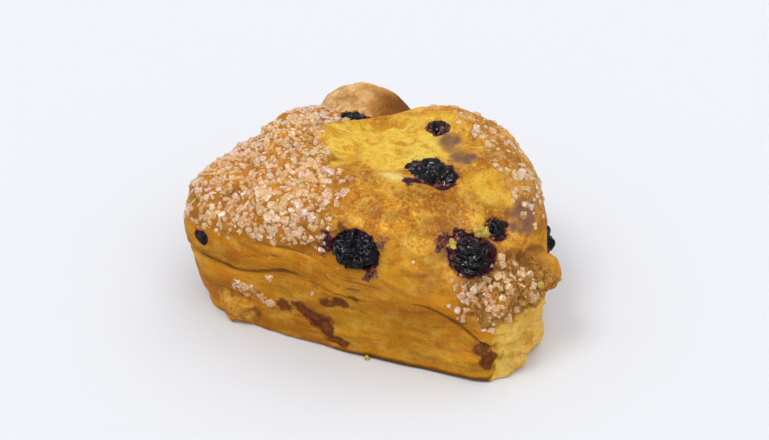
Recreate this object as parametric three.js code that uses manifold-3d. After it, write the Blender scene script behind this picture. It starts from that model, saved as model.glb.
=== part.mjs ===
// A blueberry scone: one baked wedge of dough with its berries, lying flat as it comes off the tray.
// Millimetres, +Z up. The long smooth side faces -Y, the rounded sugared tip is at -X, the torn end at +X.
// The origin is at the middle of the bounding box, on the flat underside.

import * as THREE from "three";
import { mergeVertices } from "three/addons/utils/BufferGeometryUtils.js";
import Module from "manifold-3d";

// ---------------------------------------------------------------- driving dimensions

// The dough is drawn about its own middle, which lies here from the middle of the bounding box.
const MIDDLE_X = -5.39;
const MIDDLE_Y = -4.04;

// Plan: each side is a direction in degrees and its distance from the middle of the dough.
const SIDES = [
  [-86, 32.2], // the long front side
  [-60, 52.2],
  [-25, 62.6], // the torn end
  [0, 57.5],
  [30, 48.2], // the round outer side
  [60, 47.9],
  [90, 38.6],
  [120, 37.0], // the straight back side
  [150, 36.5],
  [180, 53.3], // the tip
  [205, 56.9],
  [235, 55.0],
];
const PLAN_POWER = 10; // higher makes the corners of the plan tighter
const WALL_SCALE = 38;
const WALL_SET_BACK = 1.0;

const CROWN_HEIGHT = 47.4;
const CROWN_DOME = 6; // how far the top falls from its middle to its edge
const CROWN_MIDDLE_Y = 4;
const CROWN_REACH = [62, 43];
const TIP_DROP = { depth: 4.6, from: -25, to: -34, slant: 0.35 }; // the tip's lobe lies lower
const END_DROP = { depth: 24, from: 20, to: 64, slant: -0.55 }; // the slope to the torn end
const SADDLE = { depth: 3.6, at: [-14, 20], width: 12, from: 2, to: 18 }; // in front of the knob
const SHOULDER_RADIUS = 9;
const BASE_EDGE_RADIUS = 1.6;
const SWELLS = [
  { height: 0.9, size: 17, seed: 1.3 }, // the uneven swelling of the baked dough
  { height: 0.45, size: 8, seed: 7.1 },
];

// The fold that runs along the walls. It waves along the front, sinks a little towards the tip
// and far towards the torn end, and comes and goes along the back.
const CREASE_HEIGHT = 21.6;
const CREASE_WAVE = { height: 1.5, length: 34, crest: 27 };
const CREASE_TIP = { fall: 2, from: -15, to: -45 };
const CREASE_END = { fall: 11, from: 30, to: 54 };
const CREASE_BACK = { lower: 2.6, wave: 2, length: 8 };
const CREASE_WANDER = 0.8;
const CREASE_DEPTH = 0.7;
const CREASE_WIDTH = 0.9;
const CREASE_SOFT = { from: [-2, -12], to: [24, 34], share: 0.12 }; // shallow between these
const LAP = { depth: 0.7, from: -1.6, to: 1.4, full: 4, fade: 8 }; // laps over the slab below
const SLAB_BULGE = { depth: 0.8, below: 8, width: 6.5 };
const TIP_UNDERCUT = { depth: 4.6, from: -20, to: -48, height: 24 };
const UPPER_FOLD = { depth: 0.6, height: 31.3, slope: 0.05, width: 0.9, from: [-24, -14], to: [6, -4] };

// Lobes of dough: middle and radii.
const KNOB = { at: [-14.2, 29.2, 29.9], radii: [17.0, 12.9, 15.2] };
const KNOB_ROOT = { at: [-22, 20, 17], radii: [14, 13, 15] };
const FOOT = { at: [-26.2, -28.4, 5.4], radii: [6.8, 6.0, 7.0] };
const SEAM_DEPTH = 0.9; // the cleft between a lobe and the dough that it leans on
const REAR_HUMP = { at: [13.4, 20.4, 36], radii: [12.8, 13, 11.4] };
const END_SLAB = { at: [45.0, -9.6, 5.6], radii: [9.9, 9.4, 8.2] };
const CRAGS = [
  { at: [52.4, -4.5, 23.4], radii: [5.9, 6.5, 5.4] },
  { at: [47.6, -13, 23.8], radii: [6.3, 6.5, 5.5] },
  { at: [45.2, -20.5, 20.5], radii: [5.5, 5.5, 6] },
  { at: [51.0, -8.5, 19.0], radii: [4.6, 5, 3.6] },
];

// The torn hollow in the crown and the smaller tear on its right.
const HOLLOW = { at: [3.5, 6.5], radii: [20.5, 15.5], turn: 12, depth: 1.4, inner: 0.62 };
const HOLLOW_RIDGES = { height: 3.2, size: 9, small: 0.8, smallSize: 4.5 };
const TEAR = { at: [34.5, 1], radii: [8, 7], depth: 0.9, inner: 0.5, rough: 0.7, above: [31, 36] };
const PIT = { at: [33.6, 3.6], radius: 1.5, depth: 1.4 };
// The crust stands up along the near side of the hollow.
const LIP = { height: 1.0, at: [10, -12.2], slope: 0.04, width: 2.6, from: [-6, 0], to: [30, 22] };
// A shallow valley runs back from the front berry, between the tip's lobe and the crown.
const VALLEY = { depth: 0.8, at: [1.5, -28], slant: 0.38, width: 2.6, from: [-34, -26], to: [4, -6] };

// Where the dough broke: the crags above the torn end, and the crumb below them.
const BROKEN_CRAGS = { at: [49, -14, 22], radii: [12.5, 15, 9.5], inner: 0.7, relief: 1.3 };
const BROKEN_END = { from: 45, to: 48, top: [18, 15], rear: [3, -1], relief: 0.8 };

// Skin: the box that the surface is spread over, and how finely.
const SKIN_LOW = [-60, -42, -1];
const SKIN_HIGH = [64, 52, 54];
const SKIN_STEPS = [32, 24, 15];
const CORE_SHARE = 0.35; // the small inner box that the lines start from
const CORE_LOW = 0.35;
const CORE_HIGH = 0.55;
const SKIN_MARCHES = 60;
const SKIN_HALVINGS = 16;
const UNDERSIDE_FLAT = 0.03; // anything lower than this lies on the tray

// Berries: middle, radii, raggedness and how many faces each edge of the form is cut into.
const BERRIES = {
  berry_front: { at: [9.6, -28.4, 35.0], radii: [6.6, 5.7, 5.3], ragged: 0.06, detail: 3 },
  berry_top: { at: [19.2, -3.0, 43.0], radii: [6.9, 5.8, 5.0], ragged: 0.16, detail: 3 },
  berry_right: { at: [32.4, -14.8, 31.3], radii: [9.4, 6.6, 5.2], ragged: 0.16, detail: 3 },
  berry_right_small: { at: [38.6, -5.4, 34.2], radii: [2.8, 3.1, 3.2], ragged: 0.06, detail: 2 },
  berry_left_small: { at: [-35.3, -30.4, 26.2], radii: [2.3, 2.3, 2.3], ragged: 0.06, detail: 1 },
  berry_crown: { at: [12.8, 17.0, 44.0], radii: [4.0, 3.6, 4.0], ragged: 0.06, detail: 2 },
  berry_crack: { at: [-13.6, 18.2, 37.6], radii: [6.8, 4.4, 5.0], ragged: 0.08, detail: 2 },
  berry_side: { at: [44.6, 9.6, 22.0], radii: [5.0, 6.4, 6.0], ragged: 0.08, detail: 2 },
  berry_back: { at: [-36.0, 8.6, 25.5], radii: [6.2, 5.8, 6.2], ragged: 0.08, detail: 2 },
  berry_rear: { at: [21.0, 33.8, 27.0], radii: [6.6, 5.6, 6.2], ragged: 0.08, detail: 2 },
};
const SOCKET_GAP = 0.6;

// Sugar: grains baked onto the crust.
const GRAIN_COUNT = 100;
const GRAIN_SIZE = [1.5, 2.3];
const GRAIN_SPACING = 2.5;
const GRAIN_RISE = 0.06; // share of its size that a grain's middle lies above the crust
const GRAIN_BERRY_GAP = 1.6;
const GRAIN_FORM = [1, 0.85, 0.8];
const GRAIN_TRIES = 6000;
const SUGAR_SEED = 20;
// Where it lies: each edge is a pair of values between which the cover goes from none to full.
const SUGAR_EDGE = { wander: 1.5, size: 8 };
const SUGAR_TIP = { height: [29.5, 32], slope: 0.12, across: [3, -1], slant: 0.38 };
const SUGAR_REAR = { cover: 0.4, way: [0.62, 0.78], across: [25, 32], height: [31, 35] };
const SUGAR_CRAGS = { cover: 0.6, at: [47, -16, 22.5], radius: [12, 9], height: [14, 17] };
const SUGAR_FOOT = { at: [-21, -32, 13], radius: [4, 2.5] };
const SUGAR_STRAY = { cover: 0.02, height: [20, 30] };

// ---------------------------------------------------------------- small mathematics

const wasm = await Module();
wasm.setup();

const degrees = THREE.MathUtils.degToRad;
const lerp = THREE.MathUtils.lerp;

// 0 at a, 1 at b, smooth between, whichever of the two is larger.
function ramp(a, b, t) {
  const u = THREE.MathUtils.clamp((t - a) / (b - a), 0, 1);
  return u * u * (3 - 2 * u);
}

function bell(t) {
  return Math.exp(-t * t);
}

// The larger of two distances, with the edge between them rounded by k.
function smoothMax(a, b, k) {
  const h = THREE.MathUtils.clamp(0.5 + (0.5 * (a - b)) / k, 0, 1);
  return b + (a - b) * h + k * h * (1 - h);
}

function smoothMin(a, b, k) {
  return -smoothMax(-a, -b, k);
}

// Distance to an egg, negative inside.
function egg(x, y, z, { at, radii }) {
  const q = [(x - at[0]) / radii[0], (y - at[1]) / radii[1], (z - at[2]) / radii[2]];
  const k0 = Math.hypot(...q) + 1e-9;
  const k1 = Math.hypot(q[0] / radii[0], q[1] / radii[1], q[2] / radii[2]) + 1e-9;
  return (k0 * (k0 - 1)) / k1;
}

// A steady value in 0..1 for each corner of the noise lattice.
function corner(ix, iy, iz) {
  const s = Math.sin(ix * 127.1 + iy * 311.7 + iz * 74.7) * 43758.5453;
  return s - Math.floor(s);
}

// Smooth lumps between -1 and 1, about "size" across.
function lump(x, y, z, size, seed) {
  const p = [x / size + seed, y / size - seed, z / size + 2 * seed];
  const c = p.map(Math.floor);
  const [u, v, w] = p.map((value, i) => {
    const f = value - c[i];
    return f * f * f * (f * (6 * f - 15) + 10);
  });
  const row = (dy, dz) =>
    lerp(corner(c[0], c[1] + dy, c[2] + dz), corner(c[0] + 1, c[1] + dy, c[2] + dz), u);
  return 2 * lerp(lerp(row(0, 0), row(1, 0), v), lerp(row(0, 1), row(1, 1), v), w) - 1;
}

// Seeded random numbers in 0..1.
function randomFrom(seed) {
  let state = seed >>> 0;
  return () => {
    state = (state + 0x6d2b79f5) >>> 0;
    let t = Math.imul(state ^ (state >>> 15), state | 1);
    t ^= t + Math.imul(t ^ (t >>> 7), t | 61);
    return ((t ^ (t >>> 14)) >>> 0) / 4294967296;
  };
}

// ---------------------------------------------------------------- the dough's form

// 1 on the outline of the plan, less inside it.
function planShare(x, y) {
  let sum = 0;
  for (const [angle, distance] of SIDES) {
    const reach = x * Math.cos(degrees(angle)) + y * Math.sin(degrees(angle));
    sum += Math.max(0, reach / distance) ** PLAN_POWER;
  }
  return sum ** (1 / PLAN_POWER);
}

// The fold waves along the front and falls to the torn end; at the back it waves on its own.
function creaseHeight(x, y) {
  const turns = (x - CREASE_WAVE.crest) / CREASE_WAVE.length;
  const wave = CREASE_WAVE.height * Math.cos(2 * Math.PI * turns);
  const tipFall = CREASE_TIP.fall * ramp(CREASE_TIP.from, CREASE_TIP.to, x);
  const endFall = CREASE_END.fall * ramp(CREASE_END.from, CREASE_END.to, x);
  const front = CREASE_HEIGHT + wave - tipFall - endFall;
  const backWave = CREASE_BACK.wave * Math.sin(x / CREASE_BACK.length);
  const back = CREASE_HEIGHT - CREASE_BACK.lower + backWave;
  return lerp(front, back, ramp(-14, 4, y)) + CREASE_WANDER * lump(x, y, 0, 9, 4.4);
}

function crownHeight(x, y) {
  const acrossTop = (y - CROWN_MIDDLE_Y) / CROWN_REACH[1];
  const dome = CROWN_DOME * ((x / CROWN_REACH[0]) ** 2 + acrossTop ** 2);
  const tip = TIP_DROP.depth * ramp(TIP_DROP.from, TIP_DROP.to, x + TIP_DROP.slant * (y + 8));
  const end = END_DROP.depth * ramp(END_DROP.from, END_DROP.to, x + END_DROP.slant * (y + 10));
  const saddleLine = (x - SADDLE.at[0] - 0.5 * (y - SADDLE.at[1])) / SADDLE.width;
  const saddle = SADDLE.depth * bell(saddleLine) * ramp(SADDLE.from, SADDLE.to, y);
  return CROWN_HEIGHT - dome - tip - end - saddle;
}

// Walls: distance outside them, with the fold, the lap over it and the undercut below the tip.
function wallDistance(x, y, z) {
  const up = z - creaseHeight(x, y);
  const front = ramp(0, -14, y);
  const frontFold = ramp(...CREASE_SOFT.from, x) + ramp(...CREASE_SOFT.to, x) + CREASE_SOFT.share;
  const backFold = ramp(-0.1, 0.5, lump(x, y, 0, 14, 7.7));
  const fold = CREASE_DEPTH * bell(up / CREASE_WIDTH) * lerp(backFold, frontFold, front);
  const lapFade = bell(Math.max(0, up - LAP.full) / LAP.fade);
  const lap = LAP.depth * ramp(LAP.from, LAP.to, up) * lapFade;
  const slab = SLAB_BULGE.depth * bell((up + SLAB_BULGE.below) / SLAB_BULGE.width);
  const low = THREE.MathUtils.clamp(1 - z / TIP_UNDERCUT.height, 0, 1) ** 2;
  const undercut = TIP_UNDERCUT.depth * ramp(TIP_UNDERCUT.from, TIP_UNDERCUT.to, x) * low;
  const foldEnds = ramp(...UPPER_FOLD.from, x) * ramp(...UPPER_FOLD.to, x) * ramp(0, -20, y);
  const foldLine = (z - UPPER_FOLD.height - UPPER_FOLD.slope * x) / UPPER_FOLD.width;
  const upperFold = UPPER_FOLD.depth * bell(foldLine) * foldEnds;
  const plain = (planShare(x, y) - 1) * WALL_SCALE + WALL_SET_BACK;
  return plain - lap + fold - slab + undercut + upperFold;
}

// How far out a point lies in the torn hollow, 1 at its edge.
function hollowShare(x, y) {
  const turn = degrees(HOLLOW.turn);
  const dx = x - HOLLOW.at[0];
  const dy = y - HOLLOW.at[1];
  const u = (dx * Math.cos(turn) + dy * Math.sin(turn)) / HOLLOW.radii[0];
  const v = (dy * Math.cos(turn) - dx * Math.sin(turn)) / HOLLOW.radii[1];
  return Math.hypot(u, v) + 0.2 * lump(x, y, 0, 7, 3.1) + 0.08 * lump(x, y, 0, 3, 9.1);
}

// Crown: distance above it, with the torn hollow, its lip, the small tear and the valley by the tip.
function crownDistance(x, y, z) {
  const torn = 1 - ramp(HOLLOW.inner, 1, hollowShare(x, y));
  const ridges = HOLLOW_RIDGES.height * Math.abs(lump(x, y, z, HOLLOW_RIDGES.size, 8.3));
  const smallRidges = HOLLOW_RIDGES.small * lump(x, y, z, HOLLOW_RIDGES.smallSize, 2.9);
  const hollow = torn * (HOLLOW.depth + ridges + smallRidges);
  const lipTurn = LIP.slope * (x - LIP.at[0]);
  const lipLine = (y - LIP.at[1] - lipTurn + 0.8 * lump(x, y, 0, 8, 5.1)) / LIP.width;
  const lip = LIP.height * bell(lipLine) * ramp(...LIP.from, x) * ramp(...LIP.to, x);
  const tearEdge = Math.hypot((x - TEAR.at[0]) / TEAR.radii[0], (y - TEAR.at[1]) / TEAR.radii[1]);
  const tearShare = 1 - ramp(TEAR.inner, 1, tearEdge + 0.25 * lump(x, y, 0, 5, 5.7));
  const tearDepth = TEAR.depth + TEAR.rough * lump(x, y, z, 3.1, 4.9);
  const tear = tearShare * ramp(...TEAR.above, z) * tearDepth;
  const pit = PIT.depth * bell(Math.hypot(x - PIT.at[0], y - PIT.at[1]) / PIT.radius);
  const valleyTurn = VALLEY.slant * (y - VALLEY.at[1]);
  const valleyLine = (x + valleyTurn - VALLEY.at[0] + 1.6 * lump(x, y, 0, 9, 6.6)) / VALLEY.width;
  const valley = VALLEY.depth * bell(valleyLine) * ramp(...VALLEY.from, y) * ramp(...VALLEY.to, y);
  return (z - crownHeight(x, y)) * 0.9 + hollow - lip + tear + pit + valley;
}

// Roughness of the broken crags above the torn end, and of the torn crumb below them.
function brokenRelief(x, y, z) {
  const { at, radii, inner } = BROKEN_CRAGS;
  const q = [(x - at[0]) / radii[0], (y - at[1]) / radii[1], (z - at[2]) / radii[2]];
  const crag = 1 - ramp(inner, 1, Math.hypot(...q) + 0.15 * lump(x, y, z, 6, 1.7));
  const endLine = x + 0.1 * (y - at[1]) + 1.2 * lump(x, y, z, 5, 2.2);
  const end = ramp(BROKEN_END.from, BROKEN_END.to, endLine);
  const crumb = end * ramp(...BROKEN_END.top, z) * ramp(...BROKEN_END.rear, y);
  const cragRelief = BROKEN_CRAGS.relief * crag * lump(x, y, z, 5.2, 3.7);
  return cragRelief - BROKEN_END.relief * crumb * lump(x, y, z, 4.2, 6.1);
}

// A lobe that leans on the dough, with a cleft round it.
function leanOn(d, lobe) {
  return smoothMin(d + SEAM_DEPTH * bell(lobe / 2.6), lobe, 2);
}

// Signed distance, near enough, to the whole dough: negative inside.
function dough(x, y, z) {
  let d = smoothMax(wallDistance(x, y, z), crownDistance(x, y, z), SHOULDER_RADIUS);
  d = smoothMin(d, egg(x, y, z, REAR_HUMP), 6);
  d = smoothMin(d, egg(x, y, z, KNOB_ROOT), 5);
  d = smoothMin(d, egg(x, y, z, END_SLAB), 2.5);
  d = leanOn(d, egg(x, y, z, KNOB));
  d = leanOn(d, egg(x, y, z, FOOT));
  for (const crag of CRAGS) d = smoothMin(d, egg(x, y, z, crag), 2.5);
  for (const { height, size, seed } of SWELLS) d -= height * lump(x, y, z, size, seed);
  d -= brokenRelief(x, y, z);
  return smoothMax(d, -z, BASE_EDGE_RADIUS);
}

// ---------------------------------------------------------------- geometry

function keepPositions(geometry) {
  geometry.deleteAttribute("normal");
  geometry.deleteAttribute("uv");
  return mergeVertices(geometry);
}

// Where the way from a point of the small inner box to its twin on the outer box leaves the dough.
function crossing(inner, outer) {
  const point = new THREE.Vector3();
  const inside = (t) => {
    point.lerpVectors(inner, outer, t);
    return dough(point.x, point.y, point.z) <= 0;
  };
  let step = 1;
  while (step < SKIN_MARCHES && inside(step / SKIN_MARCHES)) step += 1;
  let low = (step - 1) / SKIN_MARCHES;
  let high = step / SKIN_MARCHES;
  for (let i = 0; i < SKIN_HALVINGS; i += 1) {
    const middle = (low + high) / 2;
    if (inside(middle)) low = middle;
    else high = middle;
  }
  return point.lerpVectors(inner, outer, low).clone();
}

// The crust: every vertex of a segmented box is drawn in along its line until it meets the dough.
function crustGeometry() {
  const size = SKIN_HIGH.map((high, i) => high - SKIN_LOW[i]);
  const box = keepPositions(new THREE.BoxGeometry(...size, ...SKIN_STEPS));
  const position = box.getAttribute("position");
  for (let i = 0; i < position.count; i += 1) {
    const share = [0, 1, 2].map((axis) => position.getComponent(i, axis) / size[axis] + 0.5);
    const outer = new THREE.Vector3(...share.map((s, axis) => SKIN_LOW[axis] + s * size[axis]));
    const inner = new THREE.Vector3(
      SKIN_LOW[0] + size[0] * (0.5 + (share[0] - 0.5) * CORE_SHARE),
      SKIN_LOW[1] + size[1] * (0.5 + (share[1] - 0.5) * CORE_SHARE),
      SKIN_LOW[2] + size[2] * lerp(CORE_LOW, CORE_HIGH, share[2]),
    );
    const found = crossing(inner, outer);
    if (found.z < UNDERSIDE_FLAT) found.z = 0;
    position.setXYZ(i, found.x, found.y, found.z);
  }
  return box;
}

// A berry, grown by "grow" all round where it stands for its own socket.
function berryGeometry({ at, radii, ragged }, detail, grow = 0) {
  const ball = keepPositions(new THREE.IcosahedronGeometry(1, detail));
  const position = ball.getAttribute("position");
  const way = new THREE.Vector3();
  for (let i = 0; i < position.count; i += 1) {
    way.fromBufferAttribute(position, i).normalize();
    const bump = 1 + ragged * lump(way.x, way.y, way.z, 0.7, at[0]);
    position.setXYZ(
      i,
      at[0] + way.x * (radii[0] * bump + grow),
      at[1] + way.y * (radii[1] * bump + grow),
      at[2] + way.z * (radii[2] * bump + grow),
    );
  }
  return ball;
}

function solidFrom(geometry) {
  const mesh = new wasm.Mesh({
    numProp: 3,
    vertProperties: new Float32Array(geometry.getAttribute("position").array),
    triVerts: new Uint32Array(geometry.index.array),
  });
  return new wasm.Manifold(mesh);
}

function geometryFrom(solid) {
  const mesh = solid.getMesh();
  const positions = new Float32Array(mesh.numVert * 3);
  for (let i = 0; i < mesh.numVert; i += 1) {
    const start = i * mesh.numProp;
    positions.set(mesh.vertProperties.subarray(start, start + 3), i * 3);
  }
  return new THREE.BufferGeometry()
    .setAttribute("position", new THREE.BufferAttribute(positions, 3))
    .setIndex(new THREE.BufferAttribute(new Uint32Array(mesh.triVerts), 1));
}

// ---------------------------------------------------------------- sugar

// How thickly sugar lies at a point of the crust, 0..1: on the tip's lobe, the rear right
// of the crown, the crags and above the foot, with a few grains strayed over the rest.
function sugarCover(x, y, z) {
  const edge = SUGAR_EDGE.wander * lump(x, y, z, SUGAR_EDGE.size, 2.6);
  const tipHeight = ramp(...SUGAR_TIP.height, z - SUGAR_TIP.slope * (x + 24) + edge);
  const tip = tipHeight * ramp(...SUGAR_TIP.across, x + SUGAR_TIP.slant * (y + 28) + edge);
  const rearLine = SUGAR_REAR.way[0] * x + SUGAR_REAR.way[1] * y + edge;
  const rearEdge = ramp(...SUGAR_REAR.across, rearLine) * ramp(...SUGAR_REAR.height, z);
  const rear = SUGAR_REAR.cover * rearEdge;
  const cragAt = SUGAR_CRAGS.at;
  const fromCrags = Math.hypot(x - cragAt[0], y - cragAt[1], 1.2 * (z - cragAt[2])) + edge;
  const cragEdge = ramp(...SUGAR_CRAGS.radius, fromCrags) * ramp(...SUGAR_CRAGS.height, z);
  const crags = SUGAR_CRAGS.cover * cragEdge;
  const footAt = SUGAR_FOOT.at;
  const fromFoot = Math.hypot(x - footAt[0], y - footAt[1], z - footAt[2]);
  const foot = ramp(...SUGAR_FOOT.radius, fromFoot);
  const stray = SUGAR_STRAY.cover * ramp(...SUGAR_STRAY.height, z);
  return Math.max(tip, rear, crags, foot, stray);
}

// Middles for the grains: random points of the crust, kept apart and clear of the berries.
function grainPlaces(crust, random) {
  const position = crust.getAttribute("position");
  const index = crust.index;
  const corners = [new THREE.Vector3(), new THREE.Vector3(), new THREE.Vector3()];
  const triangle = new THREE.Triangle();
  const faces = [];
  let area = 0;
  for (let i = 0; i < index.count; i += 3) {
    corners.forEach((c, k) => c.fromBufferAttribute(position, index.getX(i + k)));
    triangle.set(...corners);
    const middle = triangle.getMidpoint(new THREE.Vector3());
    if (middle.z < 1) continue;
    area += triangle.getArea() * sugarCover(middle.x, middle.y, middle.z);
    faces.push({ upTo: area, middle, normal: triangle.getNormal(new THREE.Vector3()) });
  }
  const clearOfBerries = (p) =>
    Object.values(BERRIES).every(
      ({ at, radii }) =>
        Math.hypot(p.x - at[0], p.y - at[1], p.z - at[2]) > Math.max(...radii) + GRAIN_BERRY_GAP,
    );
  const places = [];
  for (let tries = 0; tries < GRAIN_TRIES && places.length < GRAIN_COUNT; tries += 1) {
    const wanted = random() * area;
    const face = faces.find(({ upTo }) => upTo >= wanted);
    const apart = places.every(({ middle }) => middle.distanceTo(face.middle) > GRAIN_SPACING);
    if (apart && clearOfBerries(face.middle)) places.push(face);
  }
  return places;
}

// One grain: a small crystal block, turned at random and half sunk in the crust.
function grainGeometry({ middle, normal }, size, random) {
  const block = new THREE.BoxGeometry(...GRAIN_FORM.map((share) => size * share));
  const stand = new THREE.Quaternion().setFromUnitVectors(new THREE.Vector3(0, 0, 1), normal);
  const tilt = new THREE.Euler(0.5 * random(), 0.5 * random(), Math.PI * random());
  const turn = stand.multiply(new THREE.Quaternion().setFromEuler(tilt));
  const centre = middle.clone().addScaledVector(normal, size * GRAIN_RISE);
  block.applyMatrix4(new THREE.Matrix4().compose(centre, turn, new THREE.Vector3(1, 1, 1)));
  return keepPositions(block);
}

function sugarGrains(crust) {
  const random = randomFrom(SUGAR_SEED);
  const places = grainPlaces(crust, random);
  return places.map((place, i) => {
    const size = lerp(GRAIN_SIZE[1], GRAIN_SIZE[0], i / places.length);
    return grainGeometry(place, size, random);
  });
}

// ---------------------------------------------------------------- the scone

function sconeSolid() {
  const crust = crustGeometry();
  let solid = solidFrom(crust);
  for (const berry of Object.values(BERRIES)) {
    const coarser = Math.max(1, berry.detail - 1);
    solid = solid.subtract(solidFrom(berryGeometry(berry, coarser, SOCKET_GAP)));
  }
  for (const grain of sugarGrains(crust)) {
    solid = solid.add(solidFrom(grain));
  }
  return solid;
}

const crustMaterial = new THREE.MeshStandardMaterial({
  color: 0xc98f42,
  roughness: 0.7,
  metalness: 0,
});
const berryMaterial = new THREE.MeshStandardMaterial({
  color: 0x241d22,
  roughness: 0.35,
  metalness: 0,
});

const scone = new THREE.Group();
scone.name = "blueberry_scone";

function addPiece(name, geometry, material) {
  const mesh = new THREE.Mesh(geometry, material.clone());
  mesh.name = name;
  mesh.position.set(MIDDLE_X, MIDDLE_Y, 0);
  mesh.geometry.computeVertexNormals();
  scone.add(mesh);
}

addPiece("scone", geometryFrom(sconeSolid()), crustMaterial);
for (const [name, berry] of Object.entries(BERRIES)) {
  addPiece(name, berryGeometry(berry, berry.detail), berryMaterial);
}

export default scone;
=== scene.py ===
import math
from collections import namedtuple
from types import SimpleNamespace as Values

import bmesh
import bpy
import numpy as np
from mathutils import Matrix, Vector


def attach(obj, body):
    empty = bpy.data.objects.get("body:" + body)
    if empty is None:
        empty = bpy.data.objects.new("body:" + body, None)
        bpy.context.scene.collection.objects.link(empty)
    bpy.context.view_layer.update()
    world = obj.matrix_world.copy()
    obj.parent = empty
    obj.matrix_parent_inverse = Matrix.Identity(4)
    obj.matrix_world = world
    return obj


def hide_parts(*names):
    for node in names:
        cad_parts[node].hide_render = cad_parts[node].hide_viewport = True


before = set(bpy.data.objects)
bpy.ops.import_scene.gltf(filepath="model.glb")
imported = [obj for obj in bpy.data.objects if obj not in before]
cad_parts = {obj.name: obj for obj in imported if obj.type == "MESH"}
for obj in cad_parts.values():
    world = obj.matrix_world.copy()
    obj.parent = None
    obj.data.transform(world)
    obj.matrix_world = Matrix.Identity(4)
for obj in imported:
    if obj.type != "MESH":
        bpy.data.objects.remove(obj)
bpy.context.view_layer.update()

MM = 0.001
MIDDLE = np.array([-5.39, -4.04, 0.0])  # the middle of the dough in the solids' frame
CRUST_SPACING = 0.67  # between neighbouring points of the crust

# ---------------------------------------------------------------- the dough's dimensions

# Values keeps the dimensions of one form together. A pair called ends, near, far or the like
# says where the form goes from nothing to full.

# Plan: each side is a direction in degrees and its distance from the middle of the dough.
SIDES = [
    (-86, 32.2), (-60, 52.2), (-25, 62.6), (0, 57.5), (30, 48.2), (60, 47.9),
    (90, 38.6), (120, 37.0), (150, 36.5), (180, 53.3), (205, 56.9), (235, 55.0),
]
WALL_SCALE = 38
WALL_SET_BACK = 1.0

CROWN_HEIGHT = 47.4
CROWN_DOME = 6  # how far the top falls from its middle to its edge
CROWN_MIDDLE_Y = 4
CROWN_REACH = (62, 43)
TIP_DROP = Values(depth=4.6, ends=(-25, -34), slant=0.35)  # the tip's lobe lies lower
END_DROP = Values(depth=24, ends=(20, 64), slant=-0.55)  # the slope to the torn end
SADDLE = Values(depth=3.6, at=(-14, 20), width=12, ends=(2, 18))  # in front of the knob
SHOULDER_RADIUS = 9
BASE_EDGE_RADIUS = 1.6
SWELLS = ((0.9, 17, 1.3), (0.45, 8, 7.1))  # the uneven swelling: height, size and seed

# The fold that runs along the walls. It waves along the front, sinks a little towards the tip
# and far towards the torn end, and comes and goes along the back.
CREASE_HEIGHT = 21.6
CREASE_WAVE = Values(height=1.5, length=34, crest=27)
CREASE_TIP = Values(fall=2, ends=(-15, -45))
CREASE_END = Values(fall=11, ends=(30, 54))
CREASE_BACK = Values(lower=2.6, wave=2, length=8)
CREASE_WANDER = 0.8
CREASE_DEPTH = 0.7
CREASE_WIDTH = 0.9
CREASE_SOFT = Values(near=(-2, -12), far=(24, 34), share=0.12)  # shallow between these
LAP = Values(depth=0.7, ends=(-1.6, 1.4), full=4, fade=8)  # laps over the slab below
SLAB_BULGE = Values(depth=0.8, below=8, width=6.5)
TIP_UNDERCUT = Values(depth=4.6, ends=(-20, -48), height=24)
UPPER_FOLD = Values(depth=0.6, height=31.3, slope=0.05, width=0.9, near=(-24, -14), far=(6, -4))

# Lobes of dough: middle and radii.
KNOB = ((-14.2, 29.2, 29.9), (17.0, 12.9, 15.2))
KNOB_ROOT = ((-22, 20, 17), (14, 13, 15))
FOOT = ((-26.2, -28.4, 5.4), (6.8, 6.0, 7.0))
SEAM_DEPTH = 0.9  # the cleft between a lobe and the dough that it leans on
REAR_HUMP = ((13.4, 20.4, 36), (12.8, 13, 11.4))
END_SLAB = ((45.0, -9.6, 5.6), (9.9, 9.4, 8.2))
CRAGS = [
    ((52.4, -4.5, 23.4), (5.9, 6.5, 5.4)),
    ((47.6, -13, 23.8), (6.3, 6.5, 5.5)),
    ((45.2, -20.5, 20.5), (5.5, 5.5, 6)),
    ((51.0, -8.5, 19.0), (4.6, 5, 3.6)),
]

# The torn hollow in the crown and the smaller tear on its right.
HOLLOW = Values(at=(3.5, 6.5), radii=(20.5, 15.5), turn=math.radians(12), depth=1.4, inner=0.62)
HOLLOW_RIDGES = Values(height=3.2, size=9, small=0.8, small_size=4.5)
TEAR = Values(at=(34.5, 1), radii=(8, 7), depth=0.9, inner=0.5, rough=0.7, above=(31, 36))
PIT = Values(at=(33.6, 3.6), radius=1.5, depth=1.4)
# The crust stands up along the near side of the hollow.
LIP = Values(height=1.0, at=(10, -12.2), slope=0.04, width=2.6, near=(-6, 0), far=(30, 22))
# A shallow valley runs back from the front berry, between the tip's lobe and the crown.
VALLEY = Values(depth=0.8, at=(1.5, -28), slant=0.38, width=2.6, near=(-34, -26), far=(4, -6))

# Where the dough broke: the crags above the torn end, and the crumb below them.
BROKEN_CRAGS = Values(at=(49, -14, 22), radii=(12.5, 15, 9.5), inner=0.7, relief=1.3)
BROKEN_END = Values(ends=(45, 48), top=(18, 15), rear=(3, -1), relief=0.8)

# Skin: the box that the surface is spread over, and the small inner box that its lines start from.
SKIN_LOW = np.array([-60.0, -42, -1])
SKIN_HIGH = np.array([64.0, 52, 54])
CORE_SHARE, CORE_LOW, CORE_HIGH = 0.35, 0.35, 0.55
SKIN_MARCHES = 24  # steps along each line without the lumps, which are slow to work out
LUMP_REACH = 4.5  # the lumps move the skin by less than this
LUMP_MARCHES = 10
SKIN_HALVINGS = 7
UNDERSIDE_FLAT = 0.03  # anything lower than this lies on the tray

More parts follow.
